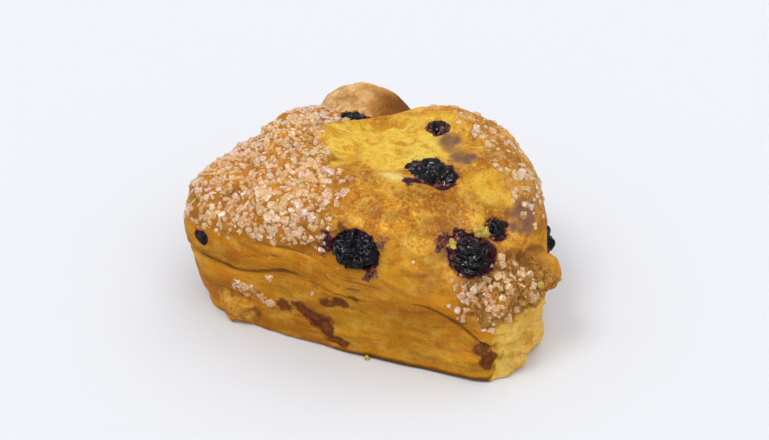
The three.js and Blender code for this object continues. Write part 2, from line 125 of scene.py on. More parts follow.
# Berries: middle, radii, raggedness, how finely cut, how far the skin has burst, and how far
# the juice has spread round it.
Berry = namedtuple("Berry", "at radii ragged cuts burst juice")
BERRIES = {
    "berry_front": Berry((9.6, -28.4, 35.0), (6.6, 5.7, 5.3), 0.06, 6, 0, 1.2),
    "berry_top": Berry((19.2, -3.0, 43.0), (6.9, 5.8, 5.0), 0.16, 6, 0.5, 1.3),
    "berry_right": Berry((32.4, -14.8, 31.3), (9.4, 6.6, 5.2), 0.16, 6, 1.3, 2.4),
    "berry_right_small": Berry((38.6, -5.4, 34.2), (2.8, 3.1, 3.2), 0.06, 5, 0.7, 1.6),
    "berry_left_small": Berry((-35.3, -30.4, 26.2), (2.3, 2.3, 2.3), 0.06, 4, 0, 0.9),
    "berry_crown": Berry((12.8, 17.0, 44.0), (4.0, 3.6, 4.0), 0.06, 5, 1, 0.7),
    "berry_crack": Berry((-13.6, 18.2, 37.6), (6.8, 4.4, 5.0), 0.08, 5, 0, 0.7),
    "berry_side": Berry((44.6, 9.6, 22.0), (5.0, 6.4, 6.0), 0.08, 5, 0, 1.0),
    "berry_back": Berry((-36.0, 8.6, 25.5), (6.2, 5.8, 6.2), 0.08, 5, 0, 1.4),
    "berry_rear": Berry((21.0, 33.8, 27.0), (6.6, 5.6, 6.2), 0.08, 5, 1, 2.2),
}

# Juice that soaked into the crust: middle, radii, strength.
STAINS = [
    ((-10.6, -31, 11.2), (5.4, 5, 2.4), 0.9),
    ((-5.6, -31, 12.2), (5.4, 5, 2.8), 1.0),
    ((-1.2, -31, 9.8), (4.4, 5, 3.4), 1.1),
    ((1.6, -31, 16.8), (4.0, 5, 2.0), 0.9),
    ((5.9, -31, 17.4), (3.6, 5, 2.0), 0.9),
    ((9.9, -31, 20.0), (2.6, 5, 1.6), 0.7),
    ((1.4, -31, 6.2), (3.0, 5, 3.2), 1.0),
    ((4.6, -31, 3.8), (4.6, 5, 2.2), 0.9),
    ((4.6, -28, 39.6), (3.6, 5, 1.8), 0.6),
    ((44.7, -27.3, 11.6), (2.6, 4, 2.4), 0.8),
    ((46.8, -26.2, 7.4), (3.0, 4, 3.2), 0.9),
    ((-36.0, 14.6, 18.0), (5.0, 5.0, 3.0), 0.7),
    ((10.0, 37.0, 16.0), (8.0, 5.0, 2.6), 0.8),
    ((26.0, 34.0, 19.0), (4.0, 5.0, 4.0), 0.7),
]

# Fresh juice splashed beside the berries.
SPLASHES = [
    ((2.0, -31, 36.0), (2.6, 5, 5.4), 0.75),
    ((1.0, -31, 32.6), (2.2, 5, 2.2), 0.5),
    ((14.6, -29, 29.4), (3.0, 5, 3.2), 0.6),
    ((16.4, -29, 38.0), (1.8, 5, 3.0), 0.5),
    ((29.8, -19.4, 36.4), (2.8, 5.0, 4.0), 0.65),
    ((17.0, -10.6, 46.5), (2.6, 2.2, 4.0), 0.8),
]

# Paler smears of juice under the crust.
SMEARS = [
    ((18.4, 12.0, 45), (4.2, 4.6, 6), 1.0),
    ((22.0, 9.0, 45), (3.6, 3.6, 6), 0.9),
    ((24.6, 6.4, 45), (4.6, 4.6, 6), 1.1),
    ((44.2, 3.4, 35.4), (4.6, 6.0, 5.0), 1.2),
    ((33.0, -18.0, 35.0), (4.5, 4.0, 5.0), 0.7),
    ((11.0, 3.0, 43.0), (3.0, 3.0, 5.0), 0.3),
    ((20.0, 33.0, 33.0), (7.0, 6.0, 4.0), 0.7),
]

# Reddish-brown patches where the crust baked hardest.
BLUSHES = [
    ((0.8, -20.0, 44.0), (3.2, 8.0, 6), 0.9),
    ((5.0, -26.0, 40.5), (5.0, 3.0, 4), 0.9),
    ((15.0, -22.0, 42.0), (7.0, 3.0, 4), 0.5),
    ((27.0, -18.0, 39.0), (6.0, 4.0, 5), 0.6),
    ((30.0, -27.0, 30.0), (4.0, 5.0, 7), 0.6),
    ((38.0, -23.0, 24.0), (4.0, 5.0, 8), 0.9),
    ((44.0, -16.0, 27.0), (7.0, 6.0, 5), 0.6),
    ((11.0, -31.0, 24.0), (8.0, 5.0, 2.4), 0.5),
    ((-40.0, -25.0, 20.0), (7.0, 8.0, 3.0), 0.6),
    ((-46.0, -14.0, 26.0), (5.0, 9.0, 5.0), 0.6),
    ((-30.0, -30.0, 12.0), (8.0, 5.0, 3.0), 0.5),
    ((-27.0, -33.0, 5.0), (8.0, 6.0, 5.0), 0.5),
    ((-40.0, 4.0, 36.0), (8.0, 8.0, 6.0), 0.5),
    ((34.0, 24.0, 30.0), (9.0, 9.0, 6.0), 0.6),
    ((0.0, 36.0, 26.0), (9.0, 6.0, 8.0), 0.5),
]

# Thin melted sugar away from the grains.
GLAZES = [
    ((1.0, -18.0, 44.0), (4.0, 9.0, 6), 0.8),
    ((30.0, -12.0, 39.0), (5.0, 4.0, 5), 0.9),
    ((32.0, 12.0, 43.0), (6.0, 8.0, 6), 0.8),
    ((40.0, 8.0, 39.0), (5.0, 8.0, 6), 0.8),
    ((14.0, -20.0, 42.0), (7.0, 4.0, 5), 0.3),
    ((7.0, -24.5, 41.5), (8.0, 4.0, 5), 0.8),
]

# ---------------------------------------------------------------- small mathematics


def ramp(a, b, t):
    """0 at a, 1 at b, smooth between, whichever of the two is larger."""
    u = np.clip((t - a) / (b - a), 0, 1)
    return u * u * (3 - 2 * u)


def bell(t):
    return np.exp(-t * t)


def smooth_max(a, b, k):
    """The larger of two distances, with the edge between them rounded by k."""
    h = np.clip(0.5 + 0.5 * (a - b) / k, 0, 1)
    return b + (a - b) * h + k * h * (1 - h)


def smooth_min(a, b, k):
    return -smooth_max(-a, -b, k)


def oval(x, y, at, radii):
    """0 in the middle of an oval and 1 on its edge."""
    return np.hypot((x - at[0]) / radii[0], (y - at[1]) / radii[1])


def ball(x, y, z, at, radii):
    """0 in the middle of an egg and 1 on its surface."""
    return np.sqrt(sum(((p - c) / r) ** 2 for p, c, r in zip((x, y, z), at, radii)))


def egg(x, y, z, at, radii):
    """Distance to an egg, negative inside."""
    qx, qy, qz = (x - at[0]) / radii[0], (y - at[1]) / radii[1], (z - at[2]) / radii[2]
    k0 = np.sqrt(qx * qx + qy * qy + qz * qz) + 1e-9
    k1 = np.sqrt((qx / radii[0]) ** 2 + (qy / radii[1]) ** 2 + (qz / radii[2]) ** 2) + 1e-9
    return k0 * (k0 - 1) / k1


def lump(x, y, z, size, seed):
    """Smooth lumps between -1 and 1, about "size" across."""
    p = [x / size + seed, y / size - seed, z / size + 2 * seed]
    c = [np.floor(v) for v in p]
    u, v, w = [f * f * f * (f * (6 * f - 15) + 10) for f in (a - b for a, b in zip(p, c))]
    base = c[0] * 127.1 + c[1] * 311.7 + c[2] * 74.7

    def row(shift):
        low = np.sin(base + shift) * 43758.5453
        high = np.sin(base + shift + 127.1) * 43758.5453
        low = low - np.floor(low)
        return low + (high - np.floor(high) - low) * u

    near_low, near_high = row(0.0), row(311.7)
    far_low, far_high = row(74.7), row(311.7 + 74.7)
    near = near_low + (near_high - near_low) * v
    far = far_low + (far_high - far_low) * v
    return 2 * (near + (far - near) * w) - 1


def lumps(x, y, z, layers):
    """Lumps of several kinds together: the height, size and seed of each."""
    return sum(height * lump(x, y, z, size, seed) for height, size, seed in layers)


# ---------------------------------------------------------------- the dough's form


def plan_share(x, y):
    """1 on the outline of the plan, less inside it; the tenth power keeps its corners tight."""
    total = 0
    for angle, distance in SIDES:
        turn = math.radians(angle)
        reach = np.maximum(0, (x * math.cos(turn) + y * math.sin(turn)) / distance)
        square = reach * reach
        total = total + square**4 * square
    return total**0.1


def crease_height(x, y, noise):
    """The fold waves along the front and falls to the torn end; at the back it waves on its own."""
    wave = CREASE_WAVE.height * np.cos((x - CREASE_WAVE.crest) / CREASE_WAVE.length * 2 * np.pi)
    tip_fall = CREASE_TIP.fall * ramp(*CREASE_TIP.ends, x)
    end_fall = CREASE_END.fall * ramp(*CREASE_END.ends, x)
    front = CREASE_HEIGHT + wave - tip_fall - end_fall
    back = CREASE_HEIGHT - CREASE_BACK.lower + CREASE_BACK.wave * np.sin(x / CREASE_BACK.length)
    return front + (back - front) * ramp(-14, 4, y) + CREASE_WANDER * noise(x, y, 0 * x, 9, 4.4)


def crown_height(x, y):
    spread = (x / CROWN_REACH[0]) ** 2 + ((y - CROWN_MIDDLE_Y) / CROWN_REACH[1]) ** 2
    tip = TIP_DROP.depth * ramp(*TIP_DROP.ends, x + TIP_DROP.slant * (y + 8))
    end = END_DROP.depth * ramp(*END_DROP.ends, x + END_DROP.slant * (y + 10))
    saddle_line = (x - SADDLE.at[0] - 0.5 * (y - SADDLE.at[1])) / SADDLE.width
    saddle = SADDLE.depth * bell(saddle_line) * ramp(*SADDLE.ends, y)
    return CROWN_HEIGHT - CROWN_DOME * spread - tip - end - saddle


def wall_distance(x, y, z, noise):
    """Distance outside the walls, with the fold, the lap over it and the undercut at the tip."""
    up = z - crease_height(x, y, noise)
    front = ramp(0, -14, y)
    front_fold = ramp(*CREASE_SOFT.near, x) + ramp(*CREASE_SOFT.far, x) + CREASE_SOFT.share
    back_fold = ramp(-0.1, 0.5, noise(x, y, 0 * x, 14, 7.7))
    fold = CREASE_DEPTH * bell(up / CREASE_WIDTH) * (back_fold + (front_fold - back_fold) * front)
    lap = LAP.depth * ramp(*LAP.ends, up) * bell(np.maximum(0, up - LAP.full) / LAP.fade)
    slab = SLAB_BULGE.depth * bell((up + SLAB_BULGE.below) / SLAB_BULGE.width)
    low = np.clip(1 - z / TIP_UNDERCUT.height, 0, 1) ** 2
    undercut = TIP_UNDERCUT.depth * ramp(*TIP_UNDERCUT.ends, x) * low
    fold_ends = ramp(*UPPER_FOLD.near, x) * ramp(*UPPER_FOLD.far, x) * ramp(0, -20, y)
    fold_line = (z - UPPER_FOLD.height - UPPER_FOLD.slope * x) / UPPER_FOLD.width
    upper_fold = UPPER_FOLD.depth * bell(fold_line) * fold_ends
    plain = (plan_share(x, y) - 1) * WALL_SCALE + WALL_SET_BACK
    return plain - lap + fold - slab + undercut + upper_fold


def hollow_share(x, y, noise):
    """How far out a point lies in the torn hollow, 1 at its edge."""
    dx, dy = x - HOLLOW.at[0], y - HOLLOW.at[1]
    cos, sin = math.cos(HOLLOW.turn), math.sin(HOLLOW.turn)
    share = np.hypot((dx * cos + dy * sin) / HOLLOW.radii[0], (dy * cos - dx * sin) / HOLLOW.radii[1])
    return share + 0.2 * noise(x, y, 0 * x, 7, 3.1) + 0.08 * noise(x, y, 0 * x, 3, 9.1)


def tear_share(x, y, noise):
    """1 in the small tear, 0 outside it."""
    edge = oval(x, y, TEAR.at, TEAR.radii)
    return 1 - ramp(TEAR.inner, 1, edge + 0.25 * noise(x, y, 0 * x, 5, 5.7))


def valley_across(x, y, noise):
    """How far a point lies across the valley from its middle line, in millimetres."""
    turn = VALLEY.slant * (y - VALLEY.at[1])
    return x + turn - VALLEY.at[0] + 1.6 * noise(x, y, 0 * x, 9, 6.6)


def crown_distance(x, y, z, noise):
    """Distance above the crown, with the torn hollow, its lip, the small tear and the valley."""
    torn = 1 - ramp(HOLLOW.inner, 1, hollow_share(x, y, noise))
    ridges = HOLLOW_RIDGES.height * np.abs(noise(x, y, z, HOLLOW_RIDGES.size, 8.3))
    small_ridges = HOLLOW_RIDGES.small * noise(x, y, z, HOLLOW_RIDGES.small_size, 2.9)
    hollow = torn * (HOLLOW.depth + ridges + small_ridges)
    lip_turn = LIP.slope * (x - LIP.at[0])
    lip_line = (y - LIP.at[1] - lip_turn + 0.8 * noise(x, y, 0 * x, 8, 5.1)) / LIP.width
    lip = LIP.height * bell(lip_line) * ramp(*LIP.near, x) * ramp(*LIP.far, x)
    tear_depth = TEAR.depth + TEAR.rough * noise(x, y, z, 3.1, 4.9)
    tear = tear_share(x, y, noise) * ramp(*TEAR.above, z) * tear_depth
    pit = PIT.depth * bell(np.hypot(x - PIT.at[0], y - PIT.at[1]) / PIT.radius)
    valley = VALLEY.depth * bell(valley_across(x, y, noise) / VALLEY.width)
    valley = valley * ramp(*VALLEY.near, y) * ramp(*VALLEY.far, y)
    return (z - crown_height(x, y)) * 0.9 + hollow - lip + tear + pit + valley


def torn_end_share(x, y, z, noise):
    """1 on the crumb of the torn end, below the crags."""
    line = x + 0.1 * (y - BROKEN_CRAGS.at[1]) + 1.2 * noise(x, y, z, 5, 2.2)
    return ramp(*BROKEN_END.ends, line) * ramp(*BROKEN_END.top, z) * ramp(*BROKEN_END.rear, y)


def broken_relief(x, y, z, noise):
    """Roughness of the broken crags above the torn end, and of the torn crumb below them."""
    reach = ball(x, y, z, BROKEN_CRAGS.at, BROKEN_CRAGS.radii) + 0.15 * noise(x, y, z, 6, 1.7)
    crag = BROKEN_CRAGS.relief * (1 - ramp(BROKEN_CRAGS.inner, 1, reach))
    crumb = BROKEN_END.relief * torn_end_share(x, y, z, noise)
    return crag * noise(x, y, z, 5.2, 3.7) - crumb * noise(x, y, z, 4.2, 6.1)


def lean_on(d, lobe):
    """A lobe that leans on the dough, with a cleft round it."""
    return smooth_min(d + SEAM_DEPTH * bell(lobe / 2.6), lobe, 2)


def no_lumps(x, y, z, size, seed):
    return 0.0


def dough(x, y, z, noise=lump):
    """Signed distance, near enough, to the whole dough: negative inside."""
    d = smooth_max(wall_distance(x, y, z, noise), crown_distance(x, y, z, noise), SHOULDER_RADIUS)
    d = smooth_min(d, egg(x, y, z, *REAR_HUMP), 6)
    d = smooth_min(d, egg(x, y, z, *KNOB_ROOT), 5)
    d = smooth_min(d, egg(x, y, z, *END_SLAB), 2.5)
    d = lean_on(d, egg(x, y, z, *KNOB))
    d = lean_on(d, egg(x, y, z, *FOOT))
    for crag in CRAGS:
        d = smooth_min(d, egg(x, y, z, *crag), 2.5)
    for height, size, seed in SWELLS:
        d = d - height * noise(x, y, z, size, seed)
    d = d - broken_relief(x, y, z, noise)
    return smooth_max(d, -z, BASE_EDGE_RADIUS)


def first_crossing(inner, way, low, high, steps, noise):
    """The bracket in which each line from inner first leaves the dough."""
    width = (high - low) / steps
    start, found = high - width, np.zeros(len(inner), bool)
    for k in range(1, steps + 1):
        here = low + width * k
        new = (dough(*(inner + way * here[:, None]).T, noise) > 0) & ~found
        start[new] = (here - width)[new]
        found |= new
    return start, start + width


def skin_points(share):
    """Where the line from a small inner box to its twin on the outer box leaves the dough."""
    size = SKIN_HIGH - SKIN_LOW
    outer = SKIN_LOW + share * size
    inner = SKIN_LOW + size * (0.5 + (share - 0.5) * CORE_SHARE)
    inner[:, 2] = SKIN_LOW[2] + size[2] * (CORE_LOW + (CORE_HIGH - CORE_LOW) * share[:, 2])
    way = outer - inner
    length = np.linalg.norm(way, axis=1)
    ones = np.ones(len(share))
    low, high = first_crossing(inner, way, 0 * ones, ones, SKIN_MARCHES, no_lumps)
    reach = LUMP_REACH / length
    low, high = np.clip(low - reach, 0, 1), np.clip(high + reach, 0, 1)
    low, high = first_crossing(inner, way, low, high, LUMP_MARCHES, lump)
    for _ in range(SKIN_HALVINGS):
        middle = (low + high) / 2
        inside = dough(*(inner + way * middle[:, None]).T) <= 0
        low, high = np.where(inside, middle, low), np.where(inside, high, middle)
    return inner + way * low[:, None], way / length[:, None]


def berry_distance(x, y, z):
    """Distance to the nearest berry."""
    nearest = np.full(x.shape, 1e3)
    for berry in BERRIES.values():
        nearest = np.minimum(nearest, egg(x, y, z, berry.at, berry.radii))
    return nearest


# ---------------------------------------------------------------- mesh helpers


def points_of(mesh):
    flat = np.empty(len(mesh.vertices) * 3, np.float32)
    mesh.vertices.foreach_get("co", flat)
    return flat.reshape(-1, 3).astype(float)


def set_points(mesh, points):
    mesh.vertices.foreach_set("co", np.asarray(points, np.float32).ravel())
    mesh.update()


def normals_of(mesh):
    flat = np.empty(len(mesh.vertices) * 3, np.float32)
    mesh.vertices.foreach_get("normal", flat)
    return flat.reshape(-1, 3).astype(float)


def smoothed(mesh, values, rounds):
    """Values at the vertices, averaged with their neighbours that many times."""
    ends = np.empty(len(mesh.edges) * 2, np.int32)
    mesh.edges.foreach_get("vertices", ends)
    a, b = ends.reshape(-1, 2).T
    count = len(mesh.vertices)
    degree = np.bincount(a, minlength=count) + np.bincount(b, minlength=count)
    values = np.array(values, float)
    columns = values.reshape(count, -1)
    for _ in range(rounds):
        for k in range(columns.shape[1]):
            column = columns[:, k]
            total = np.bincount(a, column[b], count) + np.bincount(b, column[a], count)
            columns[:, k] = 0.5 * column + 0.5 * total / degree
    return columns.reshape(values.shape)


def hollowness(mesh, points, normal, rounds):
    """How far each vertex lies below its smoothed surroundings."""
    return np.einsum("ij,ij->i", smoothed(mesh, points, rounds) - points, normal)


def keep_on(mesh, name, values):
    attribute = mesh.attributes.new(name, "FLOAT", "POINT")
    attribute.data.foreach_set("value", np.asarray(values, np.float32))


def piece_from(bm, name):
    mesh = bpy.data.meshes.new(name)
    bm.to_mesh(mesh)
    bm.free()
    piece = bpy.data.objects.new(name, mesh)
    bpy.context.scene.collection.objects.link(piece)
    return piece


def shade_smooth(mesh):
    mesh.polygons.foreach_set("use_smooth", np.ones(len(mesh.polygons), bool))
    mesh.update()


# ---------------------------------------------------------------- what lies where on the crust

# Where sugar lies: each pair of values runs from no cover to full cover.
SUGAR_EDGE = Values(wander=1.5, size=8)
SUGAR_TIP = Values(height=(29.5, 32), slope=0.12, across=(6, -4), slant=0.38)
SUGAR_REAR = Values(cover=0.4, way=(0.62, 0.78), across=(25, 32), height=(31, 35))
SUGAR_CRAGS = Values(cover=0.45, at=(44.5, -17.5, 24), radius=(13, 10), height=(14, 17))
SUGAR_CRAGS_REAR = Values(cover=0.35, edge=(-6, -14))  # thinner on the far side of the crags
SUGAR_FOOT = Values(cover=0.8, at=(-25, 14.6), run=7.5, fall=3.2, radius=(2.6, 1.4))

# Where the crumb is torn open.
CROWN_ONLY = (30, 34)  # heights between which the marks of the crown begin
HOLLOW_CRUMB = Values(edge=(1.16, 0.72), wander=0.12)
TEAR_CRUMB = Values(share=0.72, edge=(0.0, 1.3))
END_CRUMB = Values(edge=(44.6, 47.4), top=(19, 15), rear=(7, -3))
DRIEST = Values(least=0.5, across=(47, 53), wander=3)
PALE_LIP = Values(at=(12, -11.0), radii=(6.5, 4.4), crumb=0.9, crumb_radii=(5.8, 3.8))
CRAG_SKIN = Values(at=(47.5, -13.5, 22.5), radii=(15.5, 16.5, 10.5), edge=(1.0, 0.75))

# How the crust baked: brown to the right on the knob, dark in the valley and at the low rim,
# tan high up on the knob and on the right side, rough on the crown and the foot. The low rim's
# dark is partly its baked underside and partly painted contact shadow.
KNOB_EDGE, FOOT_EDGE = (2.2, 0.2), (1.6, 0.2)
KNOB_SHADE = Values(dark=0.9, across=(-16, -3), slant=0.25, level=36, wander=1.5)
VALLEY_SHADE = Values(dark=0.3, shift=1.0, width=3.2, near=(-33, -24))
# The lowest rim: partly its baked underside, partly painted contact shadow.
RIM_BAKE_AND_SHADOW = Values(dark=0.9, height=(2.9, 1.2), wander=0.5, least=0.45, across=(-5, 12))
TAN_HEIGHT = Values(edge=(27, 39), wander=4)
SIDE_TAN = Values(share=0.45, across=(38, 44), rear=(-8, 0))
CROWN_SKIN = Values(upward=(0.35, 0.75), height=(26, 32), wander=2)
FOOT_SKIN = 0.7

# Soft edges of the blobs and of the juice.
BLOB_EDGE = (1.2, 0.4)
JUICE_INNER = 0.1
RAGGED_JUICE = 1.5  # juice that spreads further than this has a fully ragged edge

# Small lumps of each surface: height, size and seed, in millimetres.
CRUST_LUMPS = ((0.16, 2.6, 6.4), (0.10, 1.3, 9.9))
CRUMB_FLAKES = ((1.1, 6.0, 5.9), (0.35, 2.8, 7.3))
TEAR_EDGE_LUMPS = ((0.55, 3.6, 8.8), (0.25, 1.6, 1.2))
END_EDGE_LUMPS = ((2.2, 6, 2.2), (1.4, 2.8, 7.5))
FOOT_LUMPS = ((0.5, 2.4, 3.4), (0.25, 1.1, 4.8))
KNOB_LUMPS = ((0.45, 4.0, 2.8), (0.2, 1.8, 7.9))
GLAZE_LUMPS = ((0.55, 3.4, 3.9), (0.4, 1.7, 4.7))
JUICE_LUMPS = ((0.4, 1.7, 8.1), (0.3, 1.1, 6.9))
JUICE_EDGE_LUMPS = ((0.9, 2.6, 3.8), (0.6, 1.3, 1.9))
BLOB_EDGE_LUMPS = ((0.4, 3.4, 2.4), (0.25, 1.5, 5.2))


def sugar_cover(x, y, z):
    """How thickly sugar lies at a point of the crust, 0..1: on the tip's lobe, the rear right
    of the crown, the crags and in a streak above the foot."""
    edge = SUGAR_EDGE.wander * lump(x, y, z, SUGAR_EDGE.size, 2.6)
    tip = ramp(*SUGAR_TIP.height, z - SUGAR_TIP.slope * (x + 24) + edge)
    tip = tip * ramp(*SUGAR_TIP.across, x + SUGAR_TIP.slant * (y + 28) + edge)
    rear_line = SUGAR_REAR.way[0] * x + SUGAR_REAR.way[1] * y + edge
    rear = SUGAR_REAR.cover * ramp(*SUGAR_REAR.across, rear_line) * ramp(*SUGAR_REAR.height, z)
    crag_x, crag_y, crag_z = SUGAR_CRAGS.at
    from_crags = np.sqrt((0.9 * (x - crag_x)) ** 2 + (y - crag_y) ** 2 + (1.2 * (z - crag_z)) ** 2)
    crags = SUGAR_CRAGS.cover * ramp(*SUGAR_CRAGS.radius, from_crags + edge)
    crags = crags * ramp(*SUGAR_CRAGS.height, z)
    near_side = ramp(*SUGAR_CRAGS_REAR.edge, y + 0.3 * (z - 22))
    crags = crags * (SUGAR_CRAGS_REAR.cover + (1 - SUGAR_CRAGS_REAR.cover) * near_side)
    foot_x, foot_z = SUGAR_FOOT.at
    along = np.clip((x - foot_x) / SUGAR_FOOT.run, 0, 1)
    from_streak = np.hypot(
        x - foot_x - SUGAR_FOOT.run * along, z - foot_z + SUGAR_FOOT.fall * along
    )
    foot = SUGAR_FOOT.cover * ramp(*SUGAR_FOOT.radius, from_streak) * (y < -25)
    return np.maximum.reduce([tip * (1 - knob_share(x, y, z)), rear, crags, foot])


def knob_share(x, y, z):
    return ramp(*KNOB_EDGE, egg(x, y, z, *KNOB))


def knob_shade(x, y, z):
    """0 on the knob's pale side, 1 on its brown side."""
    line = x + KNOB_SHADE.slant * (z - KNOB_SHADE.level)
    return ramp(*KNOB_SHADE.across, line + KNOB_SHADE.wander * lump(x, y, z, 6, 3.6))


def foot_share(x, y, z):
    return ramp(*FOOT_EDGE, egg(x, y, z, *FOOT))


def rough_crag_share(x, y, z):
    """The broken crags and their rims, which reach a little further than their relief."""
    reach = ball(x, y, z, CRAG_SKIN.at, CRAG_SKIN.radii) + 0.2 * lump(x, y, z, 4, 1.7)
    return ramp(*CRAG_SKIN.edge, reach) * (1 - 0.85 * torn_end_share(x, y, z, lump))


def crumb_end_share(x, y, z):
    """The torn end's crumb, ragged where it meets the crust."""
    edge = lumps(x, y, z, END_EDGE_LUMPS)
    end = ramp(*END_CRUMB.edge, x + 0.1 * (y + 14) + 0.45 * edge)
    return end * ramp(*END_CRUMB.top, z + edge) * ramp(*END_CRUMB.rear, y + 2.2 * edge)


def torn_share(x, y, z):
    """Pale torn crumb: the hollow in the crown, the small tear and the broken end."""
    crown = ramp(*CROWN_ONLY, z)
    hollow = hollow_share(x, y, lump) + HOLLOW_CRUMB.wander * lump(x, y, z, 2.2, 4.1)
    hollow = ramp(*HOLLOW_CRUMB.edge, hollow) * crown
    tear = tear_share(x, y, lump) + lumps(x, y, z, TEAR_EDGE_LUMPS)
    tear = TEAR_CRUMB.share * ramp(*TEAR_CRUMB.edge, tear) * crown
    crumb = np.maximum.reduce([hollow, tear, crumb_end_share(x, y, z)])
    return crumb * (1 - knob_share(x, y, z))


def blob_share(blobs, x, y, z, ragged):
    """The strongest of several soft-edged blobs: middle, radii and strength of each."""
    share = np.zeros_like(x)
    for at, radii, strength in blobs:
        reach = ball(x, y, z, at, radii) + ragged
        share = np.maximum(share, strength * ramp(*BLOB_EDGE, reach))
    return share


def juice_share(x, y, z):
    """Juice round the berries, widest where the skin has burst."""
    ragged = lumps(x, y, z, JUICE_EDGE_LUMPS)
    share = np.zeros_like(x)
    for berry in BERRIES.values():
        gap = egg(x, y, z, berry.at, berry.radii)
        gap = gap + ragged * min(1.0, berry.juice / RAGGED_JUICE)
        share = np.maximum(share, ramp(berry.juice, JUICE_INNER, gap))
    return np.maximum(share, blob_share(SPLASHES, x, y, z, 0.4 * ragged))


def bake_and_shadow_share(x, y, z):
    """Where the crust baked dark: the knob's right side, the valley, and the lowest rim, partly
    painted shadow.
    """
    knob = KNOB_SHADE.dark * knob_share(x, y, z) * knob_shade(x, y, z)
    valley = bell((valley_across(x, y, lump) + VALLEY_SHADE.shift) / VALLEY_SHADE.width)
    valley = VALLEY_SHADE.dark * valley * ramp(*VALLEY_SHADE.near, y) * ramp(*VALLEY.far, y)
    # The lowest rim: partly baked underside, partly painted contact shadow.
    rim = ramp(*RIM_BAKE_AND_SHADOW.height, z + RIM_BAKE_AND_SHADOW.wander * lump(x, y, z, 6, 5.1))
    rim_ends = RIM_BAKE_AND_SHADOW.least + (1 - RIM_BAKE_AND_SHADOW.least) * ramp(*RIM_BAKE_AND_SHADOW.across, x)
    rim = RIM_BAKE_AND_SHADOW.dark * rim * rim_ends
    return np.maximum.reduce([knob, valley * ramp(*CROWN_ONLY, z), rim])


def tan_share(x, y, z):
    """Dry tan skin high on the knob and on the right side."""
    high = ramp(*TAN_HEIGHT.edge, z + TAN_HEIGHT.wander * lump(x, y, z, 7, 4.3))
    knob = knob_share(x, y, z)
    knob = knob * (1 - knob * knob_shade(x, y, z))
    side = SIDE_TAN.share * ramp(*SIDE_TAN.across, x) * ramp(*SIDE_TAN.rear, y)
    return np.maximum(knob * high, side * high)


def rough_share(x, y, z, normal):
    """The speckled skin of the crown and of the foot."""
    height = z + CROWN_SKIN.wander * lump(x, y, z, 5, 6.2)
    crown = ramp(*CROWN_SKIN.upward, normal[:, 2]) * ramp(*CROWN_SKIN.height, height)
    return np.maximum(crown * (1 - knob_share(x, y, z)), FOOT_SKIN * foot_share(x, y, z))


# ---------------------------------------------------------------- crust and crumb

# The crust turns down into a hollow round each berry.
SOCKET = Values(depth=3.0, edge=(0.55, -0.5))
SOCKET_DIP = Values(depth=0.5, edge=(1.8, 0.2))
# The finishes paint shade into the hollows that these tell apart.
FINE_ROUNDS, WIDE_ROUNDS = 10, 60  # rounds of smoothing that tell small hollows from wide ones
FINE_GAIN, WIDE_GAIN = 2.6, 0.9

WALL_FACES = Values(upward=(0.75, 0.35), height=(1, 4))
WRINKLES = Values(depth=0.42, width=0.17, size=1.9, stretch=0.14, least=0.35, from_fold=9)
WALL_SWELL = Values(height=0.3, size=3.2, stretch=0.3)
FOLD_LINE = Values(depth=0.4, width=0.45, wander=0.5, least=0.2, near=(-4, -16), far=(22, 36))


def wall_wrinkles(x, y, z, normal):
    """Fine creases along the walls, deepest by the fold and towards both ends."""
    up = z - crease_height(x, y, lump)
    wall = ramp(*WALL_FACES.upward, np.abs(normal[:, 2])) * ramp(*WALL_FACES.height, z)
    line = lump(x * WRINKLES.stretch, y * WRINKLES.stretch, up, WRINKLES.size, 3.3)
    near_fold = WRINKLES.least + (1 - WRINKLES.least) * bell(up / WRINKLES.from_fold)
    patch = ramp(-0.35, 0.3, lump(x, y, z, 13, 5.5)) * near_fold
    wrinkles = WRINKLES.depth * bell(line / WRINKLES.width) * patch
    swell = lump(x * WALL_SWELL.stretch, y * WALL_SWELL.stretch, up, WALL_SWELL.size, 8.8)
    fold = bell((up + FOLD_LINE.wander * lump(x, y, z, 4, 1.6)) / FOLD_LINE.width)
    fold_ends = np.maximum(ramp(*FOLD_LINE.near, x), ramp(*FOLD_LINE.far, x))
    fold = FOLD_LINE.depth * fold * (FOLD_LINE.least + (1 - FOLD_LINE.least) * fold_ends)
    return wall * (WALL_SWELL.height * swell - wrinkles - fold)


def crumb_relief(x, y, z):
    pores = 0.12 * lump(x, y, z, 1.2, 3.2) - 0.35 * ramp(0.5, 0.9, lump(x, y, z, 2.4, 1.1))
    return lumps(x, y, z, CRUMB_FLAKES) + pores


def dry_crumb_relief(x, y, z):
    return 0.55 * lump(x, y, z, 2.4, 6.8) + 0.4 * np.abs(lump(x, y, z, 1.3, 2.9)) - 0.2


def crag_relief(x, y, z):
    shards = 1.7 * np.abs(lump(x, y, z, 4.2, 5.3)) - 1.3 + 0.7 * lump(x, y, z, 2.0, 2.2)
    return shards + 0.3 * lump(x, y, z, 1.1, 8.4)


def fine_relief(x, y, z, normal):
    """Wrinkles, crumb pores and sugar glaze, in millimetres out of the crust."""
    torn, crag = torn_share(x, y, z), rough_crag_share(x, y, z)
    relief = wall_wrinkles(x, y, z, normal) + lumps(x, y, z, CRUST_LUMPS)
    relief *= (1 - torn) * (1 - crag)
    relief += torn * crumb_relief(x, y, z)
    relief += crumb_end_share(x, y, z) * dry_crumb_relief(x, y, z)
    relief += crag * (1 - torn) * crag_relief(x, y, z)
    relief += foot_share(x, y, z) * lumps(x, y, z, FOOT_LUMPS)
    relief += knob_share(x, y, z) * lumps(x, y, z, KNOB_LUMPS)
    relief += sugar_cover(x, y, z) * (1 - torn) * lumps(x, y, z, GLAZE_LUMPS)
    relief += juice_share(x, y, z) * lumps(x, y, z, JUICE_LUMPS)
    return relief * ramp(0.05, 1.5, z)


